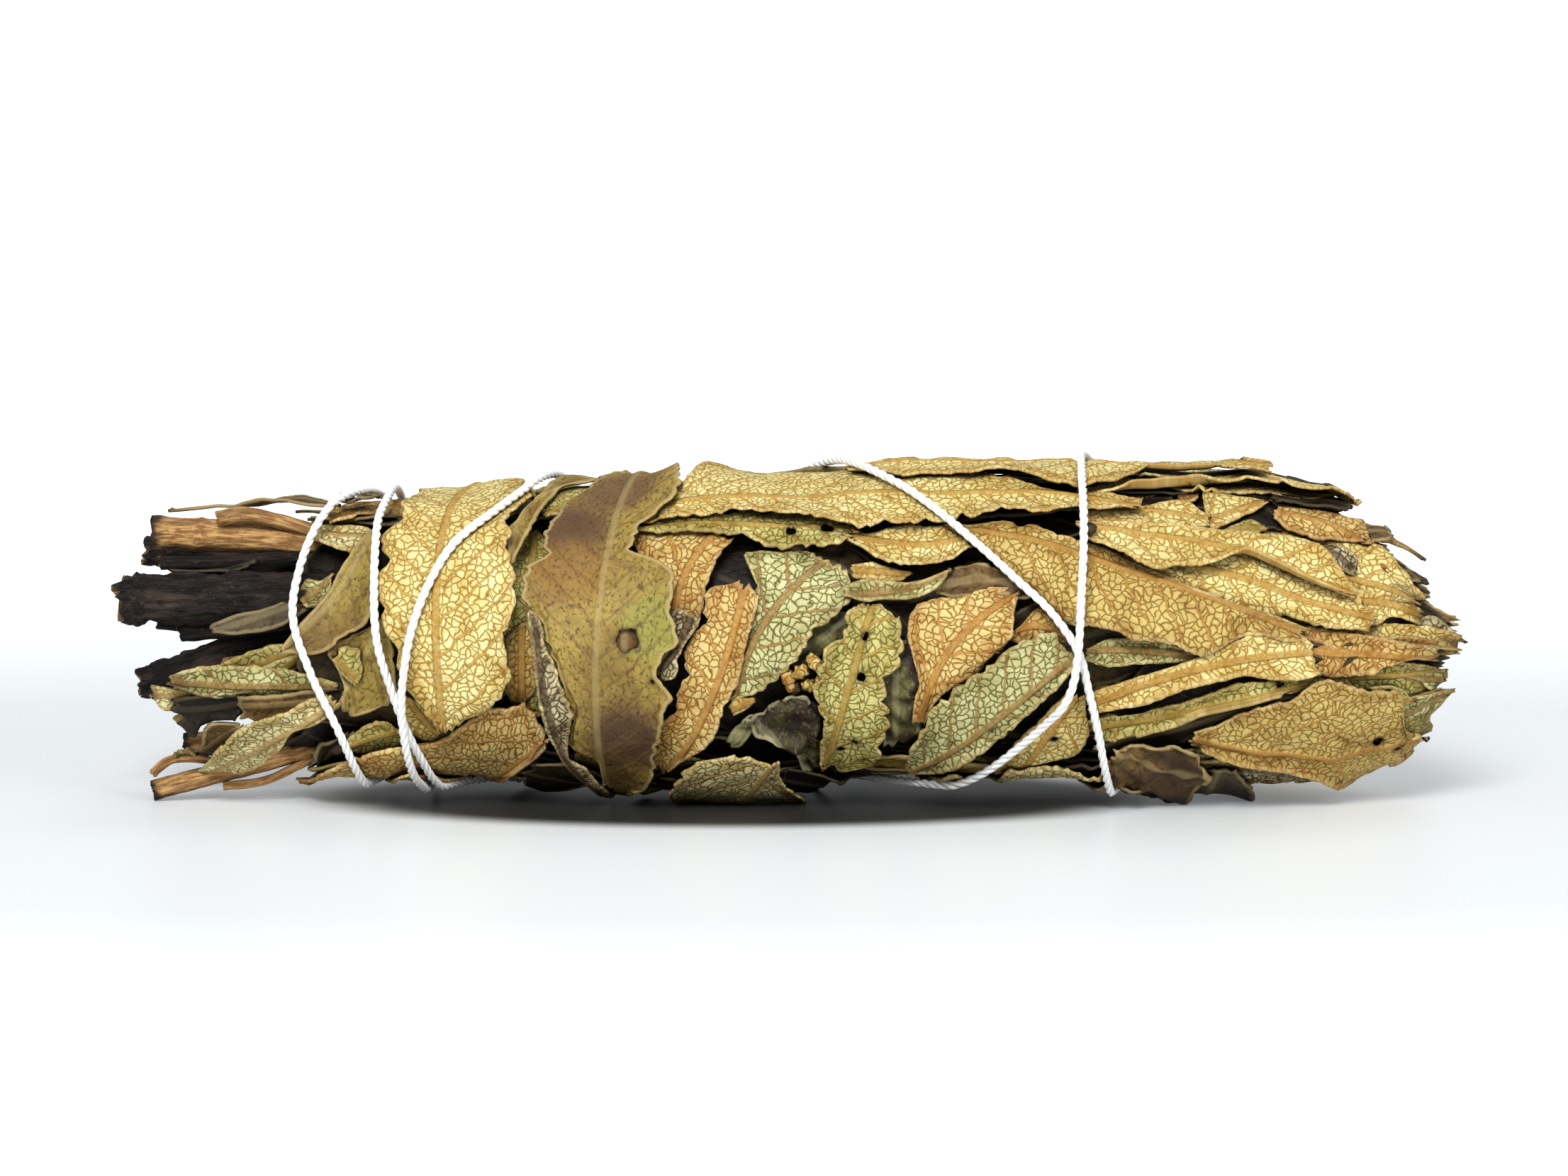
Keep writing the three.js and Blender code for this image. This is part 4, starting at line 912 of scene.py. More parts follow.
for row in FRONT:
    name, base, tip, layer, bow, finish, cup, roll, teeth, pitch, left, right = row
    leaf = Leaf(len(wrap), base, tip, layer, bow, left, right, cup, roll, teeth, pitch,
                reversed_veins=name in LAID_BACK)
    leaf.lift = STANDING.get(name, 0.0)
    leaf.crumple = CRUMPLED.get(name, 0.0)
    wrap.append((name, leaf, finish))
for name, base, tip, width, layer, flare, finish in ROUND_THE_BACK:
    margins = plain_margins(width)
    number = len(wrap)
    bow = 1.3 * math.sin(number * 2.4)
    leaf = Leaf(number, base, tip, layer, bow, margins, margins, 0.2, 0.5, 0.4, 1.5 + 0.15 * (number % 5),
                flare=flare)
    leaf.lift = 0.5 * math.cos(number * 1.9)
    wrap.append((name, leaf, finish))

# Smaller leaves and torn bits caught between the large ones. The near-black ones are partly their own dark
# colour and partly painted shade that darkens the gaps.
SCRAPS = [
    ("scrap_01", (-33.5, -19), (-30.1, -43), 1.7, -0.2, 0, 0.2, 0.5, 0.15, 1.3,
     (0.1, 0.7, 0.9, 0.9, 0.9, 0.6, 0.3),
     (0.5, 1.2, 1.6, 1.9, 1.9, 1.6, 0.8)),
    ("scrap_02", (-24.5, 92), (-29.2, 81), 0.45, 0, 1, 0.1, 0.3, 0.15, 1.4,
     (2, 2.1, 2.1, 2.2, 2, 1.8, 1.5),
     (1.1, 1.5, 2, 2.4, 2.9, 3.4, 3.8)),
    ("scrap_03", (-14, 88), (-21.6, 66), 0.9, 0, 1, 0.1, 0.2, 0.3, 1.2,
     (0.1, 0.1, 0.8, 1.1, 1.2, 1.1, 0.1),
     (2.3, 3.3, 4.3, 3.9, 3.1, 2, 0.6)),
    ("scrap_04", (-31, 96), (-43.7, 96), 1.6, 0, 1, 0.1, 0.3, 0.2, 1.4,
     (0.1, 0.1, 0.1, 2.2, 3.2, 2.7, 1.8, 0.3, 0.1),
     (0.1, 0.1, 0.1, 0.1, 0.1, 0.1, 0.1, 0.1, 0.1)),
    ("scrap_05", (-36.6, 60), (-42.5, 71), 2.2, 0.1, 11, 0.7, 0.6, 0.12, 1.4,
     (0.3, 2, 2.4, 2.2, 1.9, 1.4, 0.3),
     (0.3, 1, 1.1, 1.2, 1.2, 1, 0.9)),
    ("scrap_06", (-39.9, -15), (-54.6, -12), 3.2, 0.1, 3, 0.1, 0.3, 0.25, 1.6,
     (0.3, 0.7, 0.9, 1, 1.3, 0.8, 1.2, 1.2, 0.9, 0.3),
     (0.4, 0.8, 1.3, 1.7, 1.8, 1.9, 1.8, 1.6, 1.3, 0.6)),
    ("scrap_07", (-40.2, -20), (-48.4, -24), 2.6, 0.1, 7, 0.3, 0.6, 0.15, 1.5,
     (0.2, 1, 1, 1, 1.3, 1.7, 1.4),
     (0.3, 0.9, 1.1, 1, 1, 1, 1)),
    ("scrap_08", (-48, -24), (-54.2, -30), 3.4, 0.3, 8, 1.0, 0.6, 0.1, 1.5,
     (0.5, 1.7, 1.6, 1.6, 2.2, 2.6, 1.8),
     (0.9, 1.2, 1.5, 1.7, 1.6, 1.4, 1.1)),
    ("scrap_09", (-48.3, -38), (-52.5, -79), 2.8, -0.8, 7, 0.6, 0.4, 0.15, 1.6,
     (0.1, 0.7, 1.3, 1.7, 1.8, 1.8, 0.9),
     (0.4, 2, 1.8, 1, 0.6, 0.5, 0.6)),
    ("scrap_10", (-51.8, -82), (-54.3, -67), 2.6, 1.4, 11, 0.6, 0.6, 0.1, 1.3,
     (0.1, 0.1, 0.1, 0.1, 0.1, 0.1, 0.1),
     (0.1, 0.4, 1.3, 2, 2.2, 1.9, 1.5)),
    ("scrap_11", (-38.4, -40), (-42.5, -82), 2.4, -0.6, 5, 0.5, 0.6, 0.15, 1.5,
     (0.6, 1.3, 2.1, 2.7, 3.2, 3.1, 0.3),
     (0.8, 1.5, 1.7, 1.2, 0.9, 0.5, 0.2)),
    ("scrap_12", (-33.8, -37), (-39.1, -46), 2.0, -0.3, 1, 0.2, 0.3, 0.15, 1.4,
     (0.6, 1.6, 2.2, 2.1, 1.9, 1.3, 0.1),
     (0.1, 1.2, 1.7, 1.6, 1.3, 1, 0.5)),
    ("scrap_13", (-40.2, 43), (-43, 30), 3.0, 0.1, 3, 0.8, 0.5, 0.15, 1.4,
     (0.1, 0.5, 1, 1.1, 1.1, 1.2, 0.7),
     (0.3, 0.4, 0.6, 1.4, 1.3, 1, 0.1)),
    ("scrap_14", (-42.5, 32), (-50.8, 15), 3.6, 0.1, 5, 0.4, 0.3, 0.1, 1.8,
     (0.8, 1.2, 1.5, 1.4, 1.1, 0.8, 0.1),
     (0.7, 0.7, 0.6, 0.6, 0.8, 0.8, 0.7)),
    ("scrap_15", (25, 4), (19.1, 7), 1.7, -1.1, 2, 0.2, 0.4, 0.2, 1.4,
     (0.1, 0.7, 1.2, 1.6, 1.7, 1.2, 0.5),
     (0.1, 1.1, 1.5, 1.9, 1.3, 0.3, 0.1)),
    ("scrap_16", (11.2, -82), (2.9, -82), 1.9, 0, 1, 0.2, 0.5, 0.3, 1.3,
     (0.1, 0.1, 0.1, 0.1, 0.1, 0.1, 0.1),
     (0.1, 0.1, 3.5, 7.3, 7.5, 7.2, 0.1)),
    ("scrap_17", (22.2, 22), (12.9, 25), 1.5, -0.9, 7, 0.3, 0.6, 0.1, 1.6,
     (0.3, 1.1, 1.2, 1.3, 1.5, 1.5, 0.4),
     (0.1, 1, 1.1, 1.2, 1.4, 1.4, 0.3)),
    ("scrap_18", (10.8, 31), (5.6, 32), 2.0, -0, 0, 0.3, 0.4, 0.15, 1.3,
     (0.1, 0.7, 0.8, 0.8, 0.8, 0.8, 0.8),
     (0.2, 0.3, 0.5, 0.7, 0.9, 0.7, 0.5)),
    ("scrap_19", (42.6, 85), (5.6, 84), -0.1, 0, 0, 0.1, 0.2, 0.2, 1.8,
     (2, 2.2, 1.9, 0.1, 0.1, 0.1, 0.1, 0.1, 2.5, 4.4, 5.3, 6.1, 6.1, 5.8, 4.7, 3.7, 3.3, 3.5, 3.3,
      3.2, 3.2, 3.2, 2.5, 1.3, 0.5),
     (0.1, 1.2, 3, 3, 3, 3, 3.1, 3.1, 2.2, 0.1, 0.1, 0.1, 0.1, 0.1, 0.1, 1.7, 3.2, 3.2, 2.9, 1.8,
      0.7, 1.4, 2, 2.5, 2.9)),
    ("scrap_20", (27, -40), (45.2, -16), 1.9, 0.1, 5, 0.1, 0.2, 0.1, 1.8,
     (0.3, 0.3, 0.3, 1, 1.2, 1.1, 0.9, 0.9, 1, 1, 0.9, 0.7, 0.4),
     (0.3, 1.5, 2, 2, 2, 1.5, 1.1, 0.5, 0.1, 0.1, 0.1, 0.1, 0.3)),
    ("scrap_21", (30.5, -46), (49.2, -82), 1.4, 2.7, 6, 0.1, 0.5, 0.3, 1.6,
     (0.8, 1.4, 2.2, 2.6, 2.6, 2.7, 2.9, 3.2, 3.4, 3.8, 2.9, 1.9, 1, 0.3),
     (0.1, 1, 2.4, 2.7, 2.7, 2.8, 3, 2.5, 1.5, 1.9, 2.3, 2.6, 1.4, 0.3)),
    ("scrap_22", (36.8, 55), (55.6, 26), 2.6, 0, 0, 0.2, 0.4, 0.2, 1.4,
     (1, 1.3, 1.6, 2.3, 3.2, 3.6, 3.9, 4.2, 4.7, 4.3, 3.5, 2.6, 1.3),
     (1.1, 2.7, 2.6, 2.5, 2.2, 1.9, 1.8, 1.7, 1.6, 1.6, 1.3, 0.9, 0.4)),
    ("scrap_23", (41.6, 12), (59.2, -2), 3.0, 0, 0, 0.2, 0.4, 0.2, 1.4,
     (1.1, 1.3, 1.6, 1.9, 1.9, 1.9, 1.8, 1.7, 2.1, 2.4, 2.4, 1.9),
     (0.1, 1.2, 1.1, 1.1, 1.1, 1.1, 1, 0.7, 0.5, 0.2, 0.1, 0.1)),
    ("scrap_24", (41.6, -9), (58.2, -17), 2.6, 0, 1, 0.2, 0.4, 0.2, 1.4,
     (1.4, 1.5, 1.7, 1.9, 1.9, 1.9, 1.8, 1.7, 1.4, 0.9, 0.1),
     (1.4, 1.6, 1.7, 1.8, 1.9, 2.4, 3, 3.6, 4.5, 5.4, 5.4)),
    ("scrap_25", (40.3, 5), (57, -6), 1.7, 0, 2, 0.2, 0.4, 0.2, 1.4,
     (1.2, 1.6, 2.1, 2.2, 2.2, 2.1, 1.9, 1.7, 1.6, 1.5, 1.6),
     (0.1, 1.3, 1.8, 2, 2, 2, 1.8, 1.7, 0.8, 0.1, 0.1)),
    ("scrap_26", (42.9, -26), (57.4, -30), 2.2, 0, 1, 0.3, 0.4, 0.2, 1.4,
     (1.5, 1.6, 1.7, 1.5, 1.1, 0.7, 0.1, 0.1, 0.1, 0.1),
     (2.1, 2.9, 3.7, 5, 6.9, 8.8, 10.2, 10.1, 10.1, 10)),
    ("scrap_27", (-26.7, -82), (-19.2, -82), 1.3, 0, 8, 0.3, 0.7, 0.3, 1.4,
     (3.8, 6.7, 7.2, 7.4, 6.9, 6.5, 2.9),
     (0.1, 0.1, 0.1, 0.1, 0.1, 0.1, 0.1)),
    ("scrap_28", (-13.1, -82), (-23.3, -61), 1.0, 0, 5, 0.2, 0.5, 0.3, 1.4,
     (0.1, 0.8, 1.5, 2.3, 3.1, 3.8, 3.5, 1.3),
     (0.4, 1.4, 2.4, 3.4, 4.2, 4.6, 4.4, 3.1)),
    ("scrap_29", (-6.4, -48), (-12.7, -82), 1.4, 0, 8, 0.3, 0.7, 0.3, 1.4,
     (0.9, 1.5, 2.1, 2.5, 2.9, 2.2, 0.2),
     (1.5, 2.5, 3.1, 3.1, 2.5, 1.8, 0.5)),
    ("scrap_30", (13.7, -82), (-0.8, -56), 1.0, 0, 8, 0.2, 0.6, 0.3, 1.5,
     (0.1, 0.7, 1.5, 2.2, 2.9, 3.6, 4.4, 5.1, 5.6, 3.2, 1.1),
     (0.1, 0.1, 0.1, 0.1, 0.1, 0.1, 0.9, 2.1, 2.5, 2.6, 2.2)),
    ("scrap_31", (31.4, -82), (11.8, -82), 0.5, 0, 5, 0.2, 0.6, 0.3, 1.5,
     (0.1, 0.1, 0.1, 0.1, 0.1, 0.1, 0.1, 0.1, 0.1, 0.1, 0.1, 0.1, 0.1),
     (7.9, 7.8, 7.6, 4.4, 0.9, 0.1, 0.1, 0.1, 0.1, 0.1, 0.1, 0.1, 0.1)),
    ("scrap_32", (-26.7, -82), (-36, -82), 0.5, 0, 2, 0.2, 0.6, 0.3, 1.4,
     (0.1, 0.1, 0.1, 0.1, 0.1, 0.1, 0.1),
     (0.1, 0.1, 2.8, 4.9, 6, 6, 2.5)),
    ("scrap_33", (9.3, 5), (9.4, -38), 1.9, 0, 10, 0.3, 0.5, 0.2, 1.4,
     (1.8, 2.1, 2.4, 2.4, 2.3, 2.1, 1.4),
     (1.7, 1.8, 1.8, 1.8, 1.6, 1.3, 1.1)),
    ("scrap_34", (5.4, 14), (-0.2, -2), 2.1, 0, 10, 0.3, 0.5, 0.2, 1.4,
     (0.7, 1.3, 1.4, 1.4, 1.3, 1.1, 1),
     (0.9, 1.3, 1.6, 1.6, 1.5, 1.2, 0.8)),
    ("scrap_35", (28.7, -36), (36.9, -53), 0.5, 0, 7, 0.5, 0.6, 0.3, 1.6,
     (0.7, 1.9, 2.9, 3.3, 3.4, 2, 0.2),
     (2.1, 4.3, 6.8, 9.3, 10.2, 9.4, 8.7)),
    ("scrap_36", (36.7, 55), (42.4, 67), 1.75, -0.1, 0, 0.2, 0.3, 0.2, 1.6,
     (0.1, 2, 4.4, 3.5, 1.7, 0.9, 0.3),
     (1.2, 1.1, 1, 0.9, 0.8, 0.5, 0.1)),
    ("scrap_37", (30.6, 74), (43.8, 61), 2.3, 2.5, 8, 0.1, 0.2, 0.1, 1.6,
     (3.9, 3.8, 3.8, 4.1, 3.2, 2.5, 2.3, 2.5, 1),
     (2.2, 2.7, 3.3, 4.2, 4.7, 4.7, 4.4, 3.4, 1.7)),
    ("scrap_38", (38.1, 51), (42, 53), 2.0, 0, 1, 0.2, 0.3, 0.2, 1.6,
     (0.1, 0.4, 0.8, 1, 1.3, 0.8, 0.2),
     (0.1, 0.2, 0.5, 0.7, 0.7, 0.6, 0.2)),
    ("scrap_39", (34.3, 72), (36.2, 82), 2.1, 0, 2, 0.6, 0.5, 0.1, 1.3,
     (0.2, 0.5, 0.8, 1.1, 1.4, 1.5, 1.5),
     (1.1, 1.6, 1.5, 1.4, 1.1, 0.6, 0.2)),
    ("scrap_40", (26.3, 65), (32.5, 77), 1.9, 0, 0, 0.2, 0.3, 0.1, 1.6,
     (0.8, 0.7, 0.7, 0.7, 0.7, 0.5, 0.2),
     (0.9, 1.1, 1.3, 1.5, 1.3, 0.6, 0.1)),
    ("scrap_41", (33.3, 96), (48, 96), 1.3, 0, 8, 0.1, 0.1, 0.1, 1.6,
     (0.1, 0.1, 0.1, 0.1, 0.1, 0.1, 0.1, 0.1, 0.1, 0.1),
     (1.7, 0.7, 0.8, 2.3, 3.5, 3.5, 3.4, 2, 0.7, 0.1)),
    ("scrap_42", (40.8, 87), (45.2, 96), 0.8, 0, 2, 0.4, 0.3, 0.1, 1.6,
     (0.9, 1.8, 1.7, 1.3, 0.9, 0.4, 0.1),
     (0.1, 0.1, 0.1, 0.1, 0.1, 0.1, 0.1)),
    ("scrap_43", (43.1, 69), (50.1, 82), 1.55, 0, 8, 0.2, 0.3, 0.1, 1.6,
     (0.6, 0.9, 0.7, 0.1, 0.5, 1.3, 2.1),
     (0.1, 0.2, 0.7, 1.2, 1.4, 1.6, 0.1)),
    ("scrap_44", (49.4, 62), (53.5, 68), 2.4, 0.4, 7, 0.5, 0.3, 0.1, 1.6,
     (0.1, 1.2, 1.4, 1.7, 1.6, 1.6, 1.2),
     (1.1, 1.3, 1.6, 1.8, 1.8, 1.5, 0.6)),
    ("scrap_45", (47.4, 62), (52.9, 40), 2.5, 0.7, 2, 0.2, 0.5, 0.15, 1.6,
     (0.7, 0.3, 0.2, 0.8, 0.9, 0.6, 0.1),
     (0.1, 1.8, 2.4, 2.4, 1.9, 1.1, 0.3)),
    ("scrap_46", (46.1, 49), (50, 37), 2.1, 0.4, 6, 0.3, 0.7, 0.2, 1.6,
     (0.2, 0.6, 1.1, 1.2, 1.4, 1.4, 0.1),
     (0.1, 0.4, 0.8, 0.9, 0.9, 0.8, 0.4)),
    ("scrap_47", (48.6, 39), (55.9, 42), 2.9, -0.7, 5, 0.2, 0.4, 0.1, 1.6,
     (0.5, 0.5, 0.8, 0.9, 1, 1.2, 0.2),
     (0.1, 1, 1, 1.1, 0.6, 0.2, 0.1)),
    ("scrap_48", (52.4, 34), (56.7, 37), 3.3, 0, 7, 0.4, 0.4, 0.1, 1.6,
     (0.1, 0.2, 0.4, 0.5, 0.6, 0.7, 0.6),
     (0.1, 0.5, 0.5, 0.6, 0.6, 0.4, 0.3)),
    ("scrap_49", (47.9, 22), (55.8, 19), 2.6, 0.5, 0, 0.2, 0.5, 0.2, 1.6,
     (0.9, 1, 1, 1, 1.1, 1.5, 0.8),
     (0.1, 1.9, 2.1, 2.2, 1.2, 1, 0.9)),
    ("scrap_50", (53.7, 25), (58.6, 19), 3.6, 0, 8, 0.2, 0.2, 0.1, 1.6,
     (0.3, 0.5, 0.7, 1, 0.9, 0.4, 0.1),
     (0.1, 1.1, 1, 0.9, 0.7, 0.4, 0.1)),
    ("scrap_51", (54.6, 10), (59.9, 4), 3.2, 0.6, 6, 0.3, 0.4, 0.1, 1.6,
     (0.1, 0.7, 1.2, 1.2, 0.9, 0.5, 0.1),
     (0.4, 0.7, 0.8, 0.8, 0.6, 0.4, 0.1)),
    ("scrap_52", (48.5, -2), (57.3, 2), 2.9, -0.2, 2, 0.9, 0.3, 0.05, 1.6,
     (0.1, 0.7, 1.2, 1.2, 1.2, 0.9, 0.4),
     (1.2, 1.3, 1.2, 1.1, 0.9, 0.6, 0.2)),
    ("scrap_53", (45.3, -2), (50.1, -2), 1.7, 0, 8, 0.2, 0.4, 0.2, 1.6,
     (1.5, 1.5, 1.4, 0.9, 1, 1.3, 1.1),
     (0.4, 0.7, 0.9, 1.1, 1.1, 0.6, 0.1)),
    ("scrap_54", (45.1, 6), (48, 1), 1.5, 0, 2, 0.5, 0.8, 0.1, 1.4,
     (0.4, 0.5, 0.5, 0.6, 0.6, 0.5, 0.1),
     (0.1, 0.4, 0.6, 0.6, 0.6, 0.5, 0.5)),
    ("scrap_55", (43.8, 10), (52.9, -2), 2.0, 0.7, 2, 0.2, 0.4, 0.15, 1.6,
     (0.4, 0.5, 0.7, 0.9, 1.2, 0.1, 0.1),
     (0.1, 0.2, 0.6, 0.7, 0.7, 0.6, 0.3)),
    ("scrap_56", (45.5, -14), (49.9, -17), 2.1, 0, 1, 0.2, 0.5, 0.15, 1.6,
     (1.2, 1.3, 1.5, 1.6, 1.2, 0.8, 0.1),
     (0.4, 1, 1.3, 1.3, 1.3, 0.9, 0.6)),
    ("scrap_57", (48.6, -13), (55.6, -21), 2.9, 0, 8, 0.2, 0.5, 0.1, 1.6,
     (0.8, 1, 1.2, 1.4, 1.5, 1.3, 0.6),
     (0.1, 0.7, 1.2, 1.2, 1.4, 1.5, 1.7)),
    ("scrap_58", (53.9, -14), (58, -25), 2.4, 0, 3, 0.3, 0.7, 0.2, 1.6,
     (0.8, 1.1, 1.1, 1, 1, 1.1, 0.1),
     (0.1, 0.1, 0.2, 0.3, 0.8, 1.3, 1.7)),
    ("scrap_59", (52.5, -38), (58.8, -35), 2.2, -0.5, 3, 0.5, 0.6, 0.1, 1.6,
     (0.1, 0.5, 1.5, 1.7, 1.2, 0.8, 0.3),
     (0.9, 1.7, 2.4, 2.7, 2.4, 1.8, 0.5)),
    ("scrap_60", (51.9, -50), (56.8, -72), 1.6, 0, 2, 0.3, 0.5, 0.1, 1.6,
     (1.6, 1.7, 1.7, 1.5, 1, 0.5, 0.1),
     (0.1, 0.9, 1.9, 2.5, 2.8, 3, 2.5)),
    ("scrap_61", (51.1, -22), (55.3, -30), 1.5, 0, 1, 0.2, 0.5, 0.2, 1.4,
     (0.9, 1.2, 1.5, 1.4, 1.3, 0.6, 0.3),
     (1.3, 1.7, 1.9, 1.7, 1.2, 0.2, 0.1)),
    ("scrap_62", (32.8, 30), (49.4, 26), 1.3, 2.3, 8, 0.2, 0.2, 0.1, 1.6,
     (0.1, 0.1, 0.1, 0.1, 0.1, 0.8, 2.2, 2.4, 2.6, 1.8, 0.4),
     (0.1, 0.8, 1.5, 1.3, 0.9, 0.4, 0.1, 0.1, 0.1, 0.6, 0.5)),
    ("scrap_63", (-40, 75), (-55.1, 96), 0.3, -2.1, 7, 1.4, 0.5, 0.05, 1.6,
     (0.7, 1.6, 2.3, 2.3, 2, 1.6, 0.9, 0.3, 0.4, 0.4, 0.3),
     (0.1, 0.7, 0.8, 0.9, 0.9, 0.3, 0.1, 0.1, 0.1, 0.1, 0.1)),
    ("scrap_64", (-47.2, 59), (-56, 66), 3.3, 0, 8, 0.3, 0.4, 0.1, 1.6,
     (0.1, 1, 1.1, 1.2, 1.2, 1.3, 0.1),
     (0.3, 1.2, 1.3, 1.4, 1.5, 1.5, 1.6)),
    ("scrap_65", (-52.4, -23), (-56.4, -22), 3.8, 0, 11, 0.3, 0.6, 0.2, 1.6,
     (0.3, 1.2, 1.3, 1.4, 1.6, 1.2, 0.3),
     (0.1, 0.4, 0.6, 0.7, 0.8, 0.9, 0.9)),
    ("scrap_66", (-40.1, 1), (-37.9, -11), 1.95, 0, 1, 0.3, 0.6, 0.5, 1.6,
     (1.8, 1.9, 2, 1.7, 1.4, 1, 0.4),
     (0.2, 0.4, 0.5, 0.6, 0.6, 0.5, 0.5)),
    ("scrap_67", (-8.5, 15), (-11.7, -7), 0.3, 0.3, 6, 0.2, 0.7, 0.3, 1.3,
     (0.9, 0.9, 0.6, 0.6, 0.8, 1.5, 1.1),
     (1.3, 2.3, 1.4, 0.8, 0.6, 0.6, 0.5)),
    ("scrap_71", (-5.1, -22), (-3, -17), 1.6, 0, 0, 0.5, 0.8, 0.4, 1.4,
     (0.4, 0.7, 0.9, 0.9, 0.6, 0.3, 0.2),
     (0.6, 0.6, 0.6, 0.5, 0.5, 0.4, 0.1)),
    ("scrap_72", (-5.3, -37), (-2.8, -25), 1.7, 0, 10, 0.3, 0.6, 0.1, 1.6,
     (0.3, 0.5, 0.6, 0.6, 0.6, 0.6, 0.3),
     (0.4, 0.8, 0.8, 0.8, 0.8, 0.8, 0.4)),
    ("scrap_73", (-34.9, 96), (-41.2, 96), 2.2, 0, 5, 0.2, 0.4, 0.1, 1.6,
     (4.5, 4.8, 5.1, 4.8, 4.3, 3.8, 1.4),
     (0.1, 0.1, 0.1, 0.1, 0.1, 0.1, 0.1)),
    ("scrap_74", (-14.5, 16), (-14.4, 1), 0.5, 0, 7, 0.1, 0.2, 0.1, 1.3,
     (0.8, 1.6, 1.6, 1.6, 1.6, 1.7, 0.8),
     (0.8, 1.5, 1.6, 1.6, 1.7, 1.7, 0.9)),
    ("scrap_75", (49.3, 17), (55.4, 17), 4.2, 0, 8, 0.1, 0.2, 0.1, 1.3,
     (0.7, 0.8, 0.8, 0.8, 0.8, 0.7, 0.6),
     (1.1, 1.1, 1.2, 1.3, 1.1, 0.8, 0.6)),
    ("scrap_76", (-23.5, 14), (-23.5, -23), 2.6, 0, 9, 0.1, 0.2, 0.3, 1.6,
     (1, 1.1, 1.3, 1.4, 1.2, 1.1, 0.1),
     (0.1, 1.3, 1.3, 1.4, 1.5, 1.2, 0.9)),
]
scraps = []
for row in SCRAPS:
    name, base, tip, layer, bow, finish, cup, roll, teeth, pitch, left, right = row
    leaf = Leaf(len(wrap) + len(scraps), base, tip, layer, bow, left, right, cup, roll, teeth, pitch)
    leaf.singed = 1.0 if tip[0] > 50 or tip[0] < -46 else 0.0
    leaf.lift = STANDING.get(name, 0.0)
    leaf.crumple = CRUMPLED.get(name, 0.0)
    scraps.append((name, leaf, finish))
# Columns: name, base, tip, width, layer, finish. Leaves tucked in along the top, mostly out of sight. Most
# are near black, painted shade seen through the gaps between the outer leaves.
TUCKED = [
    ("tuck_01", (-40, 86), (-18, 92), 8.5, 2.0, 5), ("tuck_02", (-22, 96), (2, 90), 9.5, 1.6, 5),
    ("tuck_03", (-4, 90), (20, 95), 9.5, 1.7, 5), ("tuck_04", (14, 94), (38, 88), 9.5, 1.5, 8),
    ("tuck_05", (26, 86), (49, 84), 8.5, 2.2, 8), ("tuck_06", (30, 70), (52, 66), 8.0, 2.9, 8),
    ("tuck_07", (8, 72), (34, 74), 9.0, 1.9, 8), ("tuck_08", (30, 40), (56, 38), 10.0, 3.4, 8),
    ("tuck_09", (34, -8), (58, -10), 9.0, 3.6, 8), ("tuck_10", (32, -50), (54, -48), 9.0, 2.8, 8),
    ("tuck_11", (36, 18), (59.0, 20), 8.0, 4.0, 7), ("tuck_12", (38, 52), (56, 50), 8.0, 4.2, 9),
    ("tuck_13", (-36.4, 78), (-39.8, 84), 2.6, -0.1, 5), ("tuck_14", (16, 97), (50, 97), 5.0, 0.75, 8),
]
CURLED_UP = 2.4
for name, base, tip, width, layer, finish in TUCKED:
    margins = plain_margins(width)
    leaf = Leaf(len(wrap) + len(scraps), base, tip, layer, 0.0, margins, margins, 0.1, 0.4)
    leaf.flare = CURLED_UP if layer < 0 else 0.0
    scraps.append((name, leaf, finish))
string_drops = lay_string([leaf for _, leaf, _ in wrap + scraps if leaf.flare < 1.0], LAYER)
EATEN_STEP = 0.2
FRONT_STEP = 0.35
HIDDEN_STEP = 0.45


def lying_over(leaf):
    """The outer leaves that a leaf is pressed in under."""
    return [other for _, other, _ in wrap + scraps if other.layer < leaf.layer - 0.2 and leaf.near(other)]


for name, leaf, finish in wrap + scraps:
    step = HIDDEN_STEP if name.startswith(("leaf_back", "tuck")) else FRONT_STEP
    step = EATEN_STEP if name in EATEN else step
    look = OWN_FINISH.get(name, FINISHES[finish])
    piece = leaf_piece(name.replace("leaf", "blade"), [(leaf, lying_over(leaf))], look, step,
                       EATEN.get(name, ()))
    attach(piece, "root")
    if name.startswith("leaf"):
        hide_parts(name)

# More leaves of the wrap, behind and on top, in the layers between the outermost ones and the lining.
random.seed(31)
WRAP_TINTS = (0, 4, 1, 9, 3, 2, 7, 0, 4)
BETWEEN_STEP = 0.62
deeper = {finish: [] for finish in sorted(set(WRAP_TINTS))}
number = 500
for x in range(-32, 48, 9):
    for angle in (98, 121, 146, 171, 196, 221, 246):
        reach = random.uniform(9, 13)
        slant = random.uniform(-26, 26)
        turned = angle + random.uniform(-9, 9) + (12 if x % 2 else 0)
        flip = random.choice((-1, 1))
        margins = plain_margins(random.uniform(6.0, 9.0), 0.04, random.uniform(0.9, 0.98))
        base = (min(48, max(-41, x - flip * reach)), turned - slant)
        tip = (min(51, max(-42, x + flip * reach)), turned + slant)
        layer = 1.6 + 0.5 * (number % 4)
        leaf = Leaf(number, base, tip, layer, random.uniform(-1.4, 1.4), margins, margins,
                    random.uniform(-0.1, 0.5), 0.6, random.uniform(0.3, 0.5), random.uniform(1.3, 2.1))
        leaf.lift = random.choice((-1, 1)) * random.uniform(0.2, 0.8)
        leaf.crumple = random.uniform(0.0, 0.15)
        deeper[WRAP_TINTS[number % len(WRAP_TINTS)]].append((leaf, lying_over(leaf)))
        number += 1
for finish, shapes in deeper.items():
    piece = leaf_piece("wrap_between_%d" % finish, shapes, FINISHES[finish], BETWEEN_STEP)
    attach(piece, "root")
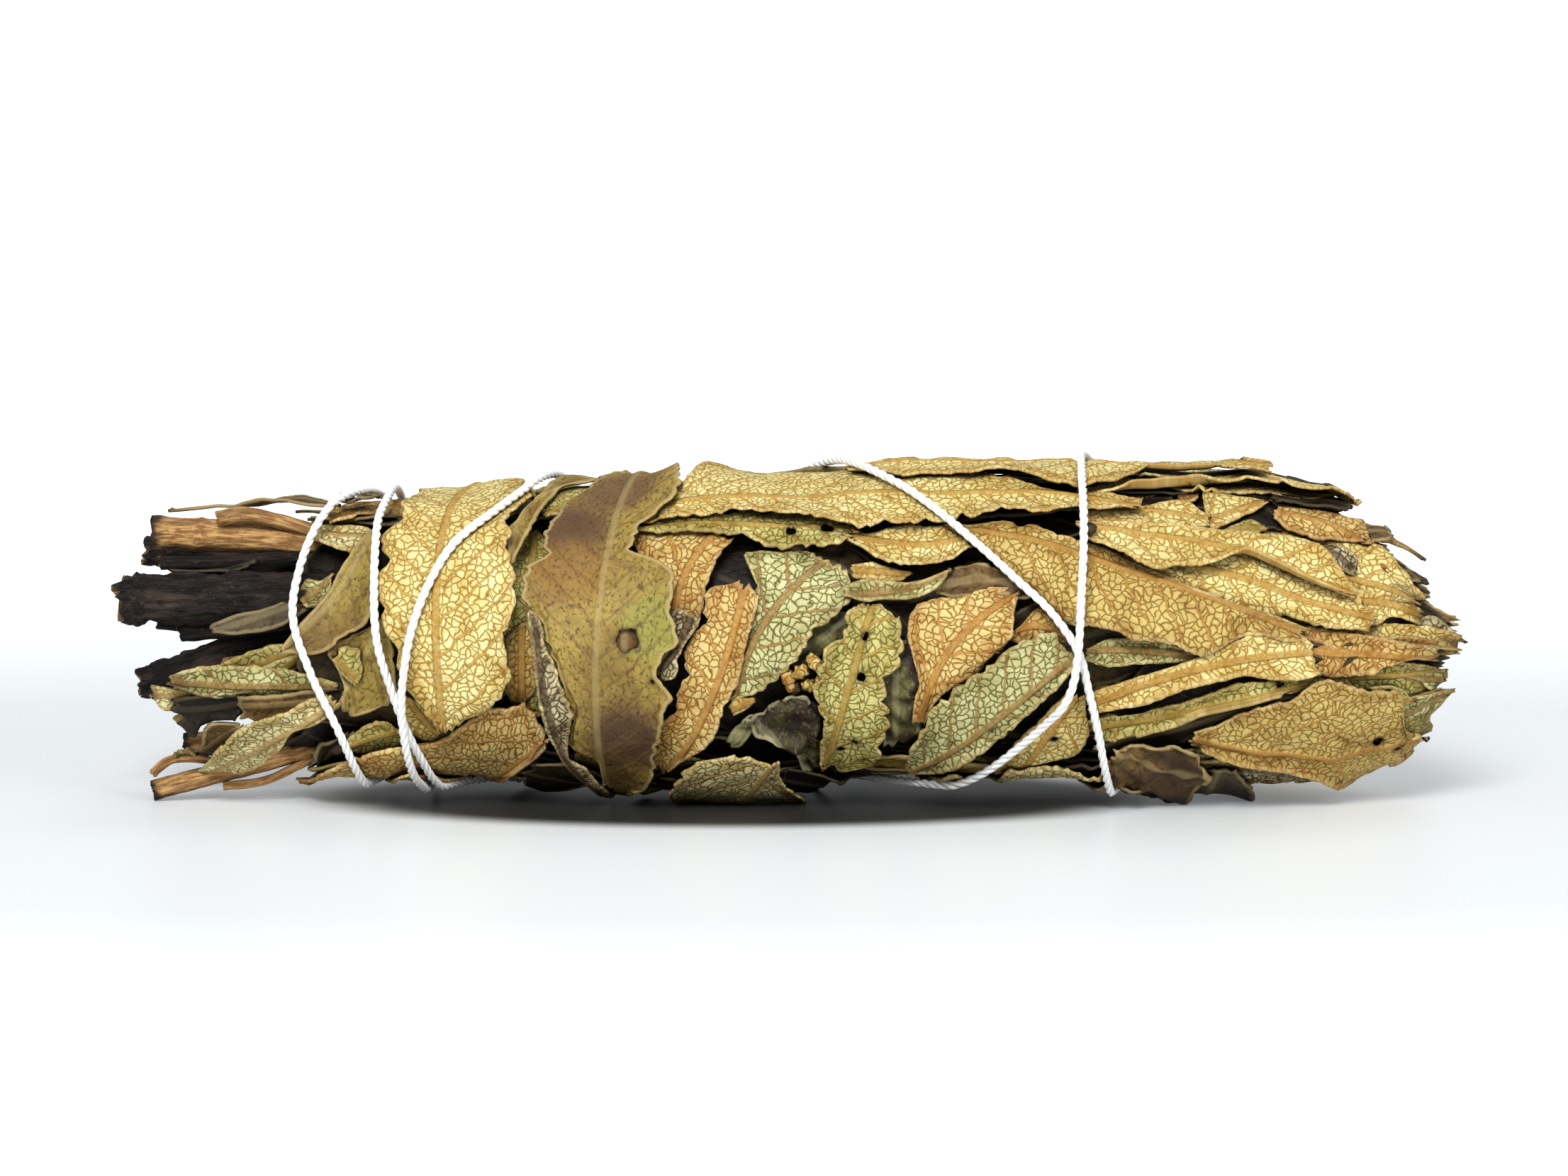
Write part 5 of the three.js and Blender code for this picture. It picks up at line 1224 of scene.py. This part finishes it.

# The lining: broad leaves wound in under the wrap, which close the gaps between the outer ones, with
# more of them crushed flat underneath where the bundle rests. Most are near black: painted shade, so that
# the gaps read as deep shadow.
random.seed(21)
LINING_STEP = 1.0
lining = {finish: [] for finish in (1, 4, 5, 8)}
number = 300
for x in (-34, -22, -10, 3, 16, 28, 40):
    for k in range(9):
        angle = k * 40.0 + random.uniform(-12, 12) + (20 if (x // 6) % 2 else 0)
        reach = random.uniform(9, 12)
        slant = random.uniform(-35, 35)
        layer = 3.55 + 0.32 * (k % 3)
        margins = plain_margins(random.uniform(9.0, 11.5), 0.12, 0.9)
        base = (max(-43, x - reach), angle - slant)
        tip = (x + reach, angle + slant)
        leaf = Leaf(number, base, tip, layer, random.uniform(-1, 1), margins, margins, 0.1, 0.3)
        # Most lining leaves take SHADED, painted shade, and the rest DARK.
        lining[8 if number % 5 else 5].append((leaf, []))
        number += 1
    for k in range(4):
        layer = 1.55 + 0.45 * k
        slant = random.uniform(-18, 18)
        turned = (-64, -90, -116, -78)[k]
        margins = plain_margins(random.uniform(7.0, 9.0), 0.12, 0.9)
        base = (max(-42, x - 9), turned - slant)
        tip = (min(42, x + 9), turned + slant)
        leaf = Leaf(number, base, tip, layer, 0.0, margins, margins, 0.1, 0.5)
        lining[(5, 4, 8, 1)[(number + k) % 4]].append((leaf, lying_over(leaf)))
        number += 1
for finish, shapes in lining.items():
    piece = leaf_piece(("lining_%d_" % finish) + SLOTS[finish], shapes, FINISHES[finish], LINING_STEP)
    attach(piece, "root")

# The woody stems: cut square at the left end and tapering into the heart of the bundle, with bark that
# is tan and lined on some and almost black and cracked on others. Fine twigs grow on them.


def make_bark():
    group, start, end = new_group("bark_grain", [("Grain", "NodeSocketVector")], [
        ("Cracks", "NodeSocketFloat"), ("Streak", "NodeSocketFloat"), ("Speck", "NodeSocketFloat")])
    stretched = add_node(group, "ShaderNodeMapping", {"Vector": start.outputs["Grain"],
                         "Scale": (0.35, 2.4, 2.4)})
    cracks = add_node(group, "ShaderNodeTexNoise", {"Vector": stretched.outputs[0], "Scale": 1.0,
                      "Detail": 6.0, "Roughness": 0.65})
    broad = add_node(group, "ShaderNodeMapping", {"Vector": start.outputs["Grain"],
                     "Scale": (0.12, 0.8, 0.8)})
    streak = add_node(group, "ShaderNodeTexNoise", {"Vector": broad.outputs[0], "Scale": 1.0,
                      "Detail": 3.0})
    speck = add_node(group, "ShaderNodeTexNoise", {"Vector": start.outputs["Grain"], "Scale": 2.2,
                     "Detail": 3.0})
    group.links.new(cracks.outputs["Fac"], end.inputs["Cracks"])
    group.links.new(streak.outputs["Fac"], end.inputs["Streak"])
    group.links.new(speck.outputs["Fac"], end.inputs["Speck"])
    return group


BARK_GRAIN = make_bark()


def bark_finish(name, low, high, flake, depth):
    material, tree, shader = new_material(name)
    place = add_node(tree, "ShaderNodeAttribute", attribute_name="place")
    grain = add_node(tree, "ShaderNodeGroup", node_tree=BARK_GRAIN)
    tree.links.new(place.outputs["Vector"], grain.inputs["Grain"])
    ridge = ramp(tree, grain.outputs["Cracks"], 0.4, 0.62)
    base = mix_colour(tree, ridge, low, high)
    streak = ramp(tree, grain.outputs["Streak"], 0.5, 0.7, 0.0, 0.6)
    streaked = mix_colour(tree, streak, base, flake)
    pale = ramp(tree, grain.outputs["Speck"], 0.62, 0.7, 0.0, 0.5)
    flaked = mix_colour(tree, pale, streaked, flake)
    age = add_node(tree, "ShaderNodeAttribute", attribute_name="age")
    burnt = math_node(tree, "MULTIPLY", age.outputs["Fac"], 0.93)
    colour_with_painted_gap_shade(tree, shader, mix_colour(tree, burnt, flaked, (0.01, 0.007, 0.006)))
    shader.inputs["Roughness"].default_value = 0.85
    bump = add_node(tree, "ShaderNodeBump", {"Height": grain.outputs["Cracks"], "Strength": 1.0,
                    "Distance": depth * MM})
    tree.links.new(bump.outputs["Normal"], shader.inputs["Normal"])
    return material


DARK_BARK = bark_finish("bark_dark", (0.004, 0.003, 0.003), (0.04, 0.029, 0.022), (0.15, 0.10, 0.07), 0.8)
TAN_BARK = bark_finish("bark_tan", (0.24, 0.12, 0.04), (0.60, 0.37, 0.15), (0.12, 0.06, 0.03), 0.25)
CUT_WOOD = bark_finish("cut_wood", (0.20, 0.11, 0.05), (0.62, 0.42, 0.2), (0.08, 0.05, 0.03), 0.5)
CHARRED = bark_finish("cut_charred", (0.006, 0.005, 0.004), (0.06, 0.04, 0.03), (0.02, 0.014, 0.01), 0.6)


def shape_stem(bm, points, radius, steps, sides=20, rough=0.12, seed=0.0, material=0, knots=(), charred=0.0,
               end=1):
    """Adds a stem to a bmesh: a grid rolled up along its curve, with ragged cut wood at both ends."""
    place_layer, age_layer = own_layers(bm)
    way = [Vector(row) for row in along_route(points, steps)]
    rings = len(way) - 1
    length = sum((way[i + 1] - way[i]).length for i in range(rings))
    frames = []
    up = Vector((0, 0, 1))
    for i, point in enumerate(way):
        tangent = (way[min(rings, i + 1)] - way[max(0, i - 1)]).normalized()
        up = (up - tangent * up.dot(tangent)).normalized()
        frames.append((point, tangent, up, tangent.cross(up)))
    grid = bmesh.ops.create_grid(bm, x_segments=rings, y_segments=sides, size=0.5)
    verts = grid["verts"]
    faces = {face for vert in verts for face in vert.link_faces}
    for vert in verts:
        share = vert.co.x + 0.5
        point, tangent, up, beside = frames[round(share * rings)]
        around = math.tau * round((vert.co.y + 0.5) * sides) / sides
        c, s = math.cos(around), math.sin(around)
        s_mm = share * length
        bumps = noise.noise(Vector((s_mm * 0.35, c * 1.4 + seed, s * 1.4)))
        ridges = noise.noise(Vector((s_mm * 0.18 + seed, c * 4.0, s * 4.0)))
        flakes = abs(noise.noise(Vector((s_mm * 0.5 + seed, c * 7.0, s * 7.0))))
        r = radius * (1.0 + rough * (bumps + 0.9 * ridges + 1.1 * flakes)) * (1.0 - 0.18 * share)
        for knot, size in knots:
            r += size * math.exp(-((s_mm - knot - 0.3 * c) / 0.4) ** 2)
        jag = noise.noise(Vector((c * 2.3 + seed, s * 2.3, 9.0))) * max(0.0, 1.0 - s_mm / 1.2)
        ragged = tangent * (radius * (0.25 + 2.0 * rough) * jag)
        vert.co = (point + ragged + up * (r * c) + beside * (r * s)) * MM
        vert[place_layer] = Vector((s_mm + seed * 31.0, c * r * 1.4, s * r * 1.4))
        vert[age_layer] = smooth(1.3 - s_mm / charred + 0.8 * bumps) if charred else 0.0
    bmesh.ops.remove_doubles(bm, verts=verts, dist=1e-7)
    rims = [edge for face in faces for edge in face.edges if edge.is_boundary]
    caps = bmesh.ops.holes_fill(bm, edges=list(set(rims)), sides=0)["faces"]
    inner = bmesh.ops.inset_individual(bm, faces=caps, thickness=radius * 0.3 * MM)["faces"]
    middle = bmesh.ops.poke(bm, faces=caps)
    for vert in {v for face in middle["faces"] for v in face.verts}:
        far = frames[0] if (vert.co - frames[0][0] * MM).length < radius * 2 * MM else frames[-1]
        jag = noise.noise(vert.co * 1900.0 + Vector((seed, 0, 0)))
        vert.co += far[1] * (0.25 * radius * jag * MM)
        vert[place_layer] = vert.co * 1000.0
        vert[age_layer] = 0.0
    for face in faces:
        face.material_index = material
    for face in inner + middle["faces"]:
        face.material_index = end
    for edge in rims:
        edge.smooth = False
    bmesh.ops.recalc_face_normals(bm, faces=list(faces) + inner + middle["faces"])


# Columns: name, radius, bark, the direction its leaves lie in, where they end, path, twigs and leaflets.
STEMS = [
    ("stem_a", 1.45, TAN_BARK, 78, 53.5,
     [(-56.4, -2, 23.9), (-43, -2.4, 23.2), (-30, -2, 21), (-10, -1.4, 19.6), (22, -1, 19.8)],
     [(0.72, 0, [(-50.5, -3.6, 25.3), (-48, -4.2, 25.8), (-44, -3.6, 24.8), (-38, -2.6, 22.6)]),
      (0.6, 2, [(-55.7, -4.5, 21.5), (-50, -4.5, 21.6), (-44, -3.6, 21.9), (-38, -2.6, 22.2)]),
      (0.75, 2, [(-52, -1, 20.5), (-48, -1, 20.4), (-44, -1.6, 20.4), (-38, -2, 20.6)])], []),
    ("stem_b", 2.0, DARK_BARK, 32, 56.5,
     [(-59, -5, 18.2), (-43.4, -6.2, 18.7), (-30, -5, 17.6), (-10, -3.8, 16.8), (18, -3.6, 16.8)],
     [(0.9, 0, [(-54, -4.4, 15.4), (-49, -4.6, 15.7), (-44, -4.8, 16.4), (-38, -4.6, 16.6)])], []),
    ("stem_c", 1.2, DARK_BARK, -12, 59.6,
     [(-56.3, -3.6, 11.2), (-44, -3.4, 14.6), (-32, -4.2, 13.4), (-10, -4.4, 12.6), (24, -4.2, 12.8)],
     [(0.75, 0, [(-56, -1, 16), (-50, -1.2, 15.3), (-45, -2, 14.8), (-42, -3.2, 14.4)]),
      (0.5, 2, [(-50, -4.8, 12.6), (-47, -5.8, 13.1), (-44, -4.8, 13.9), (-42, -3.8, 14.2)])],
     [(-40, (-54.4, -26), 2.8, 5.4), (-40, (-54.3, -48), 2.4, 4.6)]),
    ("stem_d", 0.9, TAN_BARK, -58, 57.6,
     [(-56.5, -3, 0.95), (-42.3, -3, 4.7), (-36, -2.6, 6.6), (-24, -2.4, 8.8), (20, -2.2, 9.4)],
     [(0.4, 0, [(-56.6, -3, 2.4), (-54.6, -3.2, 3.8), (-51, -3.2, 3.6), (-47, -3, 2.9)]),
      (0.4, 0, [(-50.2, -3.4, 1.4), (-46.5, -3.7, 1.9), (-43, -3.4, 3.5), (-39, -3, 5.6)])], []),
    ("stem_e", 1.0, TAN_BARK, 258, 55,
     [(-54, 3, 4.2), (-42, 2.4, 5.6), (-34, 1.4, 7.2), (-20, 1, 8.8), (18, 1, 9.2)], [], []),
    ("stem_f", 1.4, DARK_BARK, 212, 58,
     [(-58, 6.6, 9.4), (-44, 5.4, 10.4), (-30, 3.6, 11.4), (-10, 3.4, 11.6), (18, 3.4, 11.6)], [], []),
    ("stem_g", 1.7, TAN_BARK, 168, 57,
     [(-55, 7, 15.6), (-44, 6.6, 16.2), (-30, 4.6, 15.8), (-10, 4, 15.4), (22, 4, 15.4)], [], []),
    ("stem_h", 1.2, DARK_BARK, 122, 52,
     [(-57.5, 4.2, 21.6), (-44, 4, 21), (-30, 2.6, 19.6), (-10, 2.2, 19), (20, 2.2, 19)], [], []),
]
# Swollen rings where leaves once grew: distance from the cut end, and height. Some ends are charred, for
# a distance in millimetres.
KNOTS = {"stem_a": [(7.5, 0.16)], "stem_b": [(2.6, 0.3), (3.6, 0.22), (12.2, 0.2)], "stem_c": [(6.0, 0.2)],
         "stem_f": [(4.0, 0.2)], "stem_g": [(3.0, 0.25), (11.0, 0.2)], "stem_h": [(5.0, 0.2)]}
CHARRED_END = {"stem_a": 1.8, "stem_c": 5.0, "stem_d": 1.6, "stem_g": 1.5, "stem_e": 2.5}
for number, (name, radius, bark, sector, tips, path, twigs, leaflets) in enumerate(STEMS):
    bm = bmesh.new()
    dark = bark is DARK_BARK
    shape_stem(bm, path, radius, 46, 40, 0.2 if dark else 0.08, float(number), 0, KNOTS.get(name, ()),
               CHARRED_END.get(name, 0.0), 3 if name in CHARRED_END else 1)
    for k, (twig_radius, skin, points) in enumerate(twigs):
        shape_stem(bm, points, twig_radius, 12, 14, 0.15, number + k + 0.5, skin)
    for face in bm.faces:
        face.smooth = True
    mesh = bpy.data.meshes.new(name + "_wood")
    bm.to_mesh(mesh)
    bm.free()
    wood = new_object(name + "_wood", mesh, [bark, CUT_WOOD, TAN_BARK if dark else DARK_BARK, CHARRED])
    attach(wood, "root")
    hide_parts(name)

# The leaves that grow from the stems inside the wrap. Four lie along each stem and one in the heart of
# the bundle; their ends are the layered tips at the right. Small leaflets grow back on the bare wood.
random.seed(7)
INNER_LAYER = 4.6
HEART_LAYER = 8.2
SECTOR_WIDTH = 0.66
LEAFY_FROM = -42
LEAFY_TO = 16
INNER_STEP = 0.62


def grown(number, path, x, tip, width, layer):
    """A leaf whose base grows out of the middle of its stem at x."""
    rows = along_route(path, 50)
    spot = min(rows, key=lambda row: abs(row[0] - x))
    up = spot[2] - axis_height(spot[0])
    degrees = math.degrees(math.atan2(up, -spot[1]))
    degrees += 360.0 * round((tip[1] - degrees) / 360.0)
    root = girth(spot[0]) - math.hypot(up, spot[1]) - layer * LAYER - 0.3
    margins = plain_margins(width, 0.01, 0.96, True)
    return Leaf(number, (spot[0], degrees), tip, layer, 0.0, margins, margins, 0.2, 0.4, root=root)


inner_tints = [2, 0, 1, 3, 0, 2, 4, 1]
leaf_number = 100
for number, (name, radius, bark, sector, tips, path, twigs, leaflets) in enumerate(STEMS):
    shapes = []
    for x, tip, width, layer in leaflets:
        shapes.append(grown(leaf_number, path, x, tip, width, layer))
        leaf_number += 1
    room = tips - LEAFY_FROM
    for k in range(4):
        length = 28 + 6 * random.random()
        tip_x = LEAFY_FROM + room * (k + 1) / 4.0
        sway = (random.random() - 0.5) * 6
        layer = INNER_LAYER + ((k + number) % 2) * 1.5
        width = (girth(tip_x - length / 2) - layer * LAYER) * SECTOR_WIDTH
        x = min(LEAFY_TO, max(LEAFY_FROM, tip_x - length))
        shapes.append(grown(leaf_number, path, x, (tip_x, sector + sway), width, layer))
        leaf_number += 1
    heart = HEART_LAYER + (number % 2) * 2.4
    heart_tip = tips - 2 + 2 * random.random()
    heart_width = (girth(heart_tip) - heart * LAYER) * 2 * SECTOR_WIDTH
    shapes.append(grown(leaf_number, path, LEAFY_TO, (heart_tip, sector), heart_width, heart))
    leaf_number += 1
    tint = inner_tints[number]
    piece = leaf_piece(name + "_leaves", [(leaf, []) for leaf in shapes], FINISHES[tint], INNER_STEP)
    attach(piece, "root")
    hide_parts(name)

# The heart of the bundle: leaves rolled up round one another, from the middle out to the lining, whose
# tips fill the right end.
HEART_TINTS = (9, 4, 0, 2, 7, 1)
HEART_STEP = 0.8
GOLDEN_ANGLE = 137.5
heart_leaves = {finish: [] for finish in sorted(set(HEART_TINTS + (8,)))}
leaf_number = 700
for k in range(30):
    x = -36 + 2.05 * k
    depth = 4.3 + (k % 3) * 1.7 if x > 20 else 4.4
    margins = plain_margins(9.5 if x < 20 else 7.5, 0.1, 0.96)
    tip = (x + 24 + (k % 4) * 2.2, k * GOLDEN_ANGLE + 24)
    root = max(0.0, girth(x) - depth * LAYER - 1.6)
    base = (x, k * GOLDEN_ANGLE)
    leaf = Leaf(leaf_number, base, tip, depth, 0.0, margins, margins, 0.3, 0.6, 0.35, root=root)
    leaf.singed = 1.0
    # Leaves whose tips stay inside are SHADED: painted shade seen through the gaps.
    heart_leaves[8 if tip[0] < 42 else HEART_TINTS[k % 6]].append((leaf, []))
    leaf_number += 1
for k in range(22):
    depth = 3.5 + (k % 4) * 2.0
    tip = (49.5 + (k * 5 % 9) * 0.85, k * GOLDEN_ANGLE + 40)
    width = max(3.6, 1.05 * (girth(tip[0]) - depth * LAYER))
    margins = plain_margins(width, 0.1, 0.97)
    base = (tip[0] - 20, k * GOLDEN_ANGLE + 25)
    leaf = Leaf(leaf_number, base, tip, depth, 0.0, margins, margins, 0.25, 0.8, 0.4)
    leaf.singed = 0.8
    leaf.crumple = 0.15
    heart_leaves[HEART_TINTS[(k + 2) % 6]].append((leaf, []))
    leaf_number += 1
for finish, shapes in heart_leaves.items():
    piece = leaf_piece("heart_leaves_%d" % finish, shapes, FINISHES[finish], HEART_STEP)
    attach(piece, "root")

# The string: three plies of white cotton twisted together, laid on tight, with its ends in a small knot
# at the back.
cotton, tree, shader = new_material("cotton_string")
coordinates = add_node(tree, "ShaderNodeTexCoord")
lint = add_node(tree, "ShaderNodeTexNoise", {"Vector": coordinates.outputs["Object"], "Scale": 9000.0,
                "Detail": 3.0})
shade = mix_colour(tree, ramp(tree, lint.outputs["Fac"], 0.3, 0.7), (0.74, 0.74, 0.72), (0.93, 0.93, 0.92))
tree.links.new(shade, shader.inputs["Base Color"])
shader.inputs["Roughness"].default_value = 0.9
bump = add_node(tree, "ShaderNodeBump", {"Height": lint.outputs["Fac"], "Strength": 0.5,
                "Distance": 0.05 * MM})
tree.links.new(bump.outputs["Normal"], shader.inputs["Normal"])
PLIES = 3
PLY_RADIUS = 0.215
PLY_TWIST = 2.9
PLY_STEP = 0.22
EXTRA_HEIGHT = 0.75

way = [on_bundle(x, math.radians(degrees), STRING_LIFT + extra * EXTRA_HEIGHT + drop)
       for (x, degrees, extra), drop in zip(STRING_WAY, string_drops)]
curve = bpy.data.curves.new("string_plies", "CURVE")
curve.dimensions = "3D"
curve.bevel_depth = PLY_RADIUS * MM
curve.bevel_resolution = 1


def lay_plies(way, middle):
    """Twists the plies round a way of points, and returns its length in mm.

    middle gives the place in the bundle that lies straight under a point of the way.
    """
    step = PLY_STEP * MM
    even = [way[0]]
    for point in way[1:]:
        gap = (point - even[-1]).length
        for _ in range(int(gap / step)):
            even.append(even[-1] + (point - even[-1]).normalized() * step)
    for ply in range(PLIES):
        spline = curve.splines.new("POLY")
        spline.points.add(len(even) - 1)
        for i, point in enumerate(even):
            tangent = (even[min(len(even) - 1, i + 1)] - even[max(0, i - 1)]).normalized()
            out = point - middle(point)
            out = (out - tangent * out.dot(tangent)).normalized()
            beside = tangent.cross(out)
            turn = math.tau * (i * PLY_STEP / PLY_TWIST + ply / PLIES)
            offset = (out * math.cos(turn) + beside * math.sin(turn)) * (STRING_RADIUS - PLY_RADIUS) * MM
            spline.points[i].co = (*(point + offset), 1.0)
        spline.use_smooth = True
    return (len(even) - 1) * PLY_STEP


string_length = lay_plies(way, lambda point: Vector((point.x, 0.0, axis_height(point.x / MM) * MM)))
knot_place = (-32.6, 177.0)
tied = on_bundle(knot_place[0], math.radians(knot_place[1]), STRING_LIFT + 0.9)
outwards = Vector((0.0, 1.0, 0.0))
KNOT_TURNS = [(-1.5, 0.3, -0.5), (-0.5, 0.9, 0.7), (0.8, 0.7, 0.9), (1.2, 0.2, -0.2), (0.3, 0.6, -1.0),
              (-0.9, 0.9, -0.4), (-0.8, 0.3, 0.9), (0.4, 1.3, 0.5), (1.5, 0.6, -0.7)]
TAILS = [[(1.3, 0.6, -0.6), (2.6, 0.5, -1.7), (4.3, 0.1, -2.9), (5.6, -0.1, -5.0)],
         [(-1.3, 0.5, -0.4), (-2.2, 0.4, -2.0), (-2.5, 0.1, -4.4), (-4.0, -0.2, -6.2)]]
for path in [KNOT_TURNS] + TAILS:
    loop = [tied + Vector(row) * MM for row in along_route(path, 10)]
    string_length += lay_plies(loop, lambda point: tied - outwards * 4 * MM)
curve_object = bpy.data.objects.new("string_curve", curve)
bpy.context.scene.collection.objects.link(curve_object)
bpy.context.view_layer.update()
string_mesh = bpy.data.meshes.new_from_object(curve_object)
bpy.data.objects.remove(curve_object)
string_piece = new_object("string_plies", string_mesh, [cotton])
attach(string_piece, "root")
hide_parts("string")

# Dried buds and curled bracts, small, hard and brown: one caught under the string, the rest in a hollow
# of the wrap. Columns: x, degrees, height, radius, how long it is, finish.
BUDS = [
    (26.3, 41.5, 0.6, 0.7, 1.1, DARK), (0.0, -8.5, -1.2, 0.7, 1.5, ORANGE_TAN),
    (1.1, -5.5, -1.1, 0.72, 1.2, OCHRE), (2.4, -2.5, -1.0, 0.7, 1.4, ORANGE_TAN),
    (3.1, -7.5, -1.0, 0.75, 1.2, ORANGE_TAN), (1.9, -10.5, -1.1, 0.66, 1.3, OCHRE),
    (0.6, -12.0, -1.3, 0.6, 1.2, BROWN), (3.0, -12.5, -1.2, 0.6, 1.3, BROWN),
]
for number, (x, degrees, height, radius, stretch, finish) in enumerate(BUDS):
    bm = bmesh.new()
    place_layer = bm.verts.layers.float_vector.new("place")
    bmesh.ops.create_icosphere(bm, subdivisions=3, radius=radius)
    centre = on_bundle(x, math.radians(degrees), height)
    lean = Quaternion((0.0, 1.0, 0.0), number * 1.3)
    for vert in bm.verts:
        vert[place_layer] = vert.co * 1.3 + Vector((number * 9.0, 3.0, 2.0))
        rough = 1.0 + 0.28 * noise.noise(vert.co * 2.6 + Vector((number, 0, 0)))
        ridged = 1.0 + 0.1 * math.sin(vert.co.x * 9.0 / radius)
        shaped = Vector((vert.co.x * stretch, vert.co.y * 0.9, vert.co.z * 0.85)) * rough * ridged
        vert.co = centre + (lean @ shaped) * MM
    for face in bm.faces:
        face.smooth = True
    bud_mesh = bpy.data.meshes.new("bud_%d" % number)
    bm.to_mesh(bud_mesh)
    bm.free()
    bud = new_object("bud_%d" % number, bud_mesh, [finish])
    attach(bud, "root")
